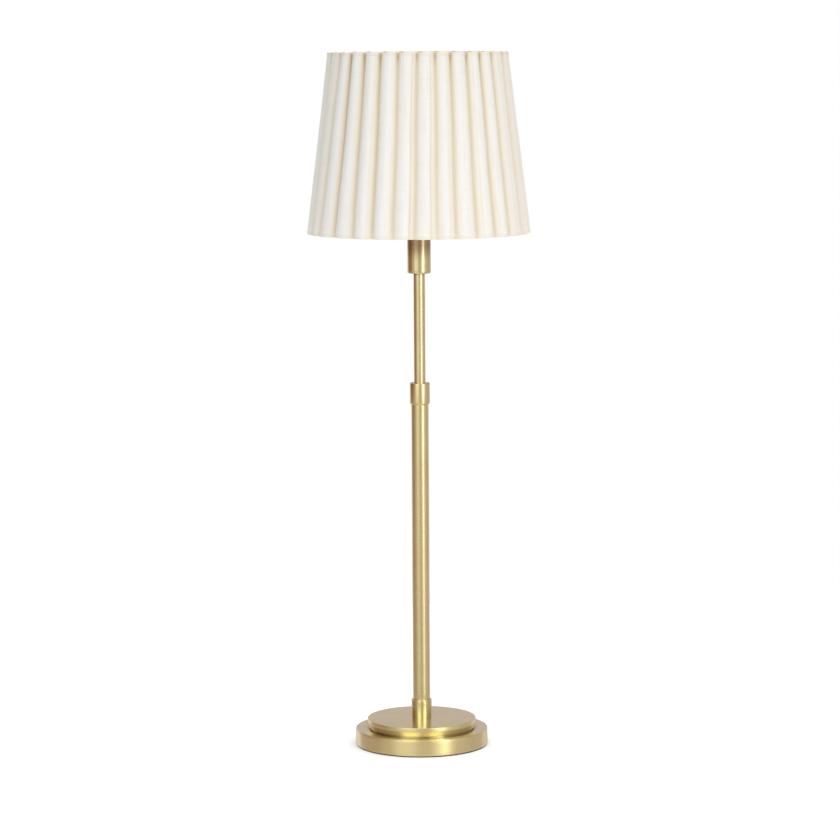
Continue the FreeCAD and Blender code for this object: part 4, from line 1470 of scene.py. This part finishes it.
@dataclass
class Studio:
    """Camera, pale floor and soft light from all round, with a few broad panels.

    Turns are counted from the camera's side, positive to the right of the picture.
    """

    lens_mm: float = 138.48
    sensor_mm: float = 36.0
    camera_place: Triple = (0.0, -3.6585, 0.8210)
    pitch_deg: float = 6.941
    roll_deg: float = -0.334
    floor_radius: float = 0.9
    floor_thick_mm: float = 2.0
    # light that matt surfaces gather, as red, green and blue: even, its lean to the right, front and top,
    # a fill from behind with the range of depth over which it comes in, and the least that is left
    even: Triple = (0.36, 0.35, 0.325)
    lean_right: Triple = (0.185, 0.16, 0.125)
    lean_front: Triple = (0.64, 0.64, 0.64)
    lean_top: Triple = (1.10, 1.11, 1.15)
    fill_behind: Triple = (1.45, 1.43, 1.38)
    behind: tuple[float, float] = (0.40, 0.95)
    least: Triple = (0.02, 0.02, 0.02)
    # light that metal mirrors: a rosy grey room that turns to the ceiling's and the ground's tone over the
    # given heights in degrees, with bright panels in front and at the back and dark flags at both sides
    room: str = "bab0b2"
    ceiling: str = "f2efea"
    ceiling_deg: tuple[float, float] = (25, 70)
    ground: str = "b9afaa"
    ground_deg: tuple[float, float] = (-18, -40)
    panel_soft_deg: float = 12
    panels: tuple[Panel, ...] = (
        Panel(-31.0, 8.0, 22.0, 0.0, 6.0, 0.66),
        Panel(-26.0, 9.0, 18.0, 13.0, 50.0, 1.00),
        Panel(40.0, 6.0, 20.0, -1.0, 5.0, 1.05, "fcfcff"),
        Panel(41.0, 2.0, 9.0, 2.0, 6.0, 2.40, "fcfcff"),
        Panel(54.0, 16.0, 26.0, -3.0, 4.0, 0.22),
        Panel(33.0, 7.0, 14.0, 14.0, 50.0, 1.05, "fafff8"),
        Panel(6.0, 10.0, 20.0, 1.0, 45.0, 0.05),
        Panel(-102.0, 14.0, 26.0, -2.0, 8.0, -0.43, "d7e8ff"),
        Panel(-92.0, 28.0, 24.0, 20.0, 60.0, -0.32, "fff9e4"),
        Panel(98.0, 28.0, 24.0, 16.0, 60.0, -0.29, "fff9e4"),
        Panel(2.0, 46.0, 26.0, -70.0, -31.0, 0.34),
        Panel(-31.0, 8.0, 16.0, -70.0, -32.0, 0.36),
        Panel(33.0, 8.0, 16.0, -70.0, -32.0, 0.24),
        Panel(0.0, 170.0, 10.0, 62.0, 89.0, 0.10, "ffffff"),
        Panel(-150.0, 5.0, 16.0, -40.0, 3.0, 0.24),
        Panel(146.0, 6.0, 16.0, -40.0, 3.0, 0.14, "fcfcff"),
    )

    def camera(self) -> None:
        """Sets the camera up at the picture's angle."""
        data = bpy.data.cameras.new("camera")
        data.lens = self.lens_mm
        data.sensor_width = self.sensor_mm
        data.clip_start, data.clip_end = 0.05, 60.0
        holder = bpy.data.objects.new("camera", data)
        bpy.context.scene.collection.objects.link(holder)
        tilt = Matrix.Rotation(math.radians(90 - self.pitch_deg), 4, "X")
        roll = Matrix.Rotation(math.radians(self.roll_deg), 4, "Z")
        holder.matrix_world = Matrix.Translation(self.camera_place) @ tilt @ roll
        bpy.context.scene.camera = holder

    def floor(self) -> None:
        """Lays the pale floor: a thin disc of milky acrylic, which the metal doesn't mirror."""
        disc = turned("floor", Section.box(0.0, self.floor_radius / MM, -self.floor_thick_mm, 0.0), 128)
        disc.data.materials.append(MilkyAcrylic().material())
        disc.visible_glossy = False
        disc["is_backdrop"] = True

    def sky(self) -> None:
        """Surrounds the scene with light, told apart by what meets it.

        Matt surfaces gather an even light plus, for each axis, the direction's part along it times the
        lean that way, plus a fill from behind. Metal mirrors a room with panels: a panel's share is one
        within its half width of turn, falls to nought over its feather, and does the same below and
        above its height. What the camera sees beyond the floor is plain white.
        """
        world = bpy.data.worlds.new("studio")
        bpy.context.scene.world = world
        world.use_nodes = True
        tree = world.node_tree
        tree.nodes.clear()
        way = add(tree, "TexCoord").outputs["Generated"]
        parts = add(tree, "SeparateXYZ", {0: way}).outputs
        flat = add(tree, "CombineXYZ", {0: parts[0], 1: parts[1]}).outputs[0]
        level = add(tree, "VectorMath", {0: flat}, operation="NORMALIZE").outputs[0]
        rise = add(tree, "Math", {0: parts[2]}, operation="ARCSINE").outputs[0]
        mirrored = layered(tree, self.room, (
            (self.ceiling, rise, tuple(map(math.radians, self.ceiling_deg)), 1.0),
            (self.ground, rise, tuple(map(math.radians, self.ground_deg)), 1.0),
        ))
        for panel in self.panels:
            mirrored = self.lit(tree, mirrored, level, rise, panel)
        behind = add(tree, "MapRange", limits(parts[1], self.behind, (0.0, 1.0)), **SMOOTH).outputs[0]
        back = tuple(-part for part in self.lean_front)
        gathered: object = self.even
        leans = (self.lean_right, back, self.lean_top, self.fill_behind)
        for lean, share in zip(leans, (parts[0], parts[1], parts[2], behind)):
            light = add(tree, "VectorMath", {0: lean, "Scale": share}, operation="SCALE").outputs[0]
            gathered = add(tree, "VectorMath", {0: gathered, 1: light}, operation="ADD").outputs[0]
        total = add(tree, "VectorMath", {0: gathered, 1: self.least}, operation="MAXIMUM").outputs[0]
        path = add(tree, "LightPath").outputs
        for ray, seen in (("Is Glossy Ray", mirrored), ("Is Camera Ray", (1.0, 1.0, 1.0, 1.0))):
            mix = add(tree, "Mix", {FACTOR: path[ray], FIRST: total, SECOND: seen}, data_type="RGBA")
            total = mix.outputs[RESULT]
        glow = add(tree, "Background", {"Color": total, "Strength": 1.0})
        add(tree, "OutputWorld", {"Surface": glow.outputs[0]})

    def lit(self, tree: Tree, total: Socket, level: Socket, rise: Socket, panel: Panel) -> Socket:
        """Adds one panel's light to the rest.

        Args:
            tree: the world's node tree.
            total: the light so far.
            level: the level part of the direction.
            rise: the direction's height in radians.
            panel: the panel to add.

        Returns:
            The socket with the new light.
        """
        turn, soft = math.radians(panel.turn_deg), math.radians(self.panel_soft_deg)
        towards = (math.sin(turn), -math.cos(turn), 0.0)
        dot = add(tree, "VectorMath", {0: level, 1: towards}, operation="DOT_PRODUCT").outputs["Value"]
        off = add(tree, "Math", {0: dot}, operation="ARCCOSINE").outputs[0]
        half, feather = math.radians(panel.half_width_deg), math.radians(panel.feather_deg)
        fall = limits(off, (half, half + feather), (panel.radiance, 0.0))
        share = add(tree, "MapRange", fall, **SMOOTH).outputs[0]
        low, high = math.radians(panel.low_deg), math.radians(panel.high_deg)
        for edge in ((low - soft, low), (high + soft, high)):
            inside = add(tree, "MapRange", limits(rise, edge, (0.0, 1.0)), **SMOOTH).outputs[0]
            share = add(tree, "Math", {0: share, 1: inside}, operation="MULTIPLY").outputs[0]
        tint = linear(panel.tint)[:3]
        light = add(tree, "VectorMath", {0: tint, "Scale": share}, operation="SCALE").outputs[0]
        return add(tree, "VectorMath", {0: total, 1: light}, operation="ADD").outputs[0]

    def build(self) -> None:
        """Sets up the floor and the light."""
        self.floor()
        self.sky()
        bpy.context.scene.view_settings.view_transform = "Standard"


def corners() -> list[list[float]]:
    """The object's box as plain lists of numbers."""
    return [list(corner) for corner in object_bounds()]


def main() -> None:
    """Builds the lamp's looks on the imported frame."""
    logging.basicConfig(level=logging.INFO, format="%(name)s %(message)s")
    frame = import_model()
    studio = Studio()
    studio.camera()
    finishes = Finishes()
    for kind in (Base, Stem, Head, Shade):
        kind(finishes, frame["nodes"]).build()
    studio.build()


if __name__ == "__main__":
    main()
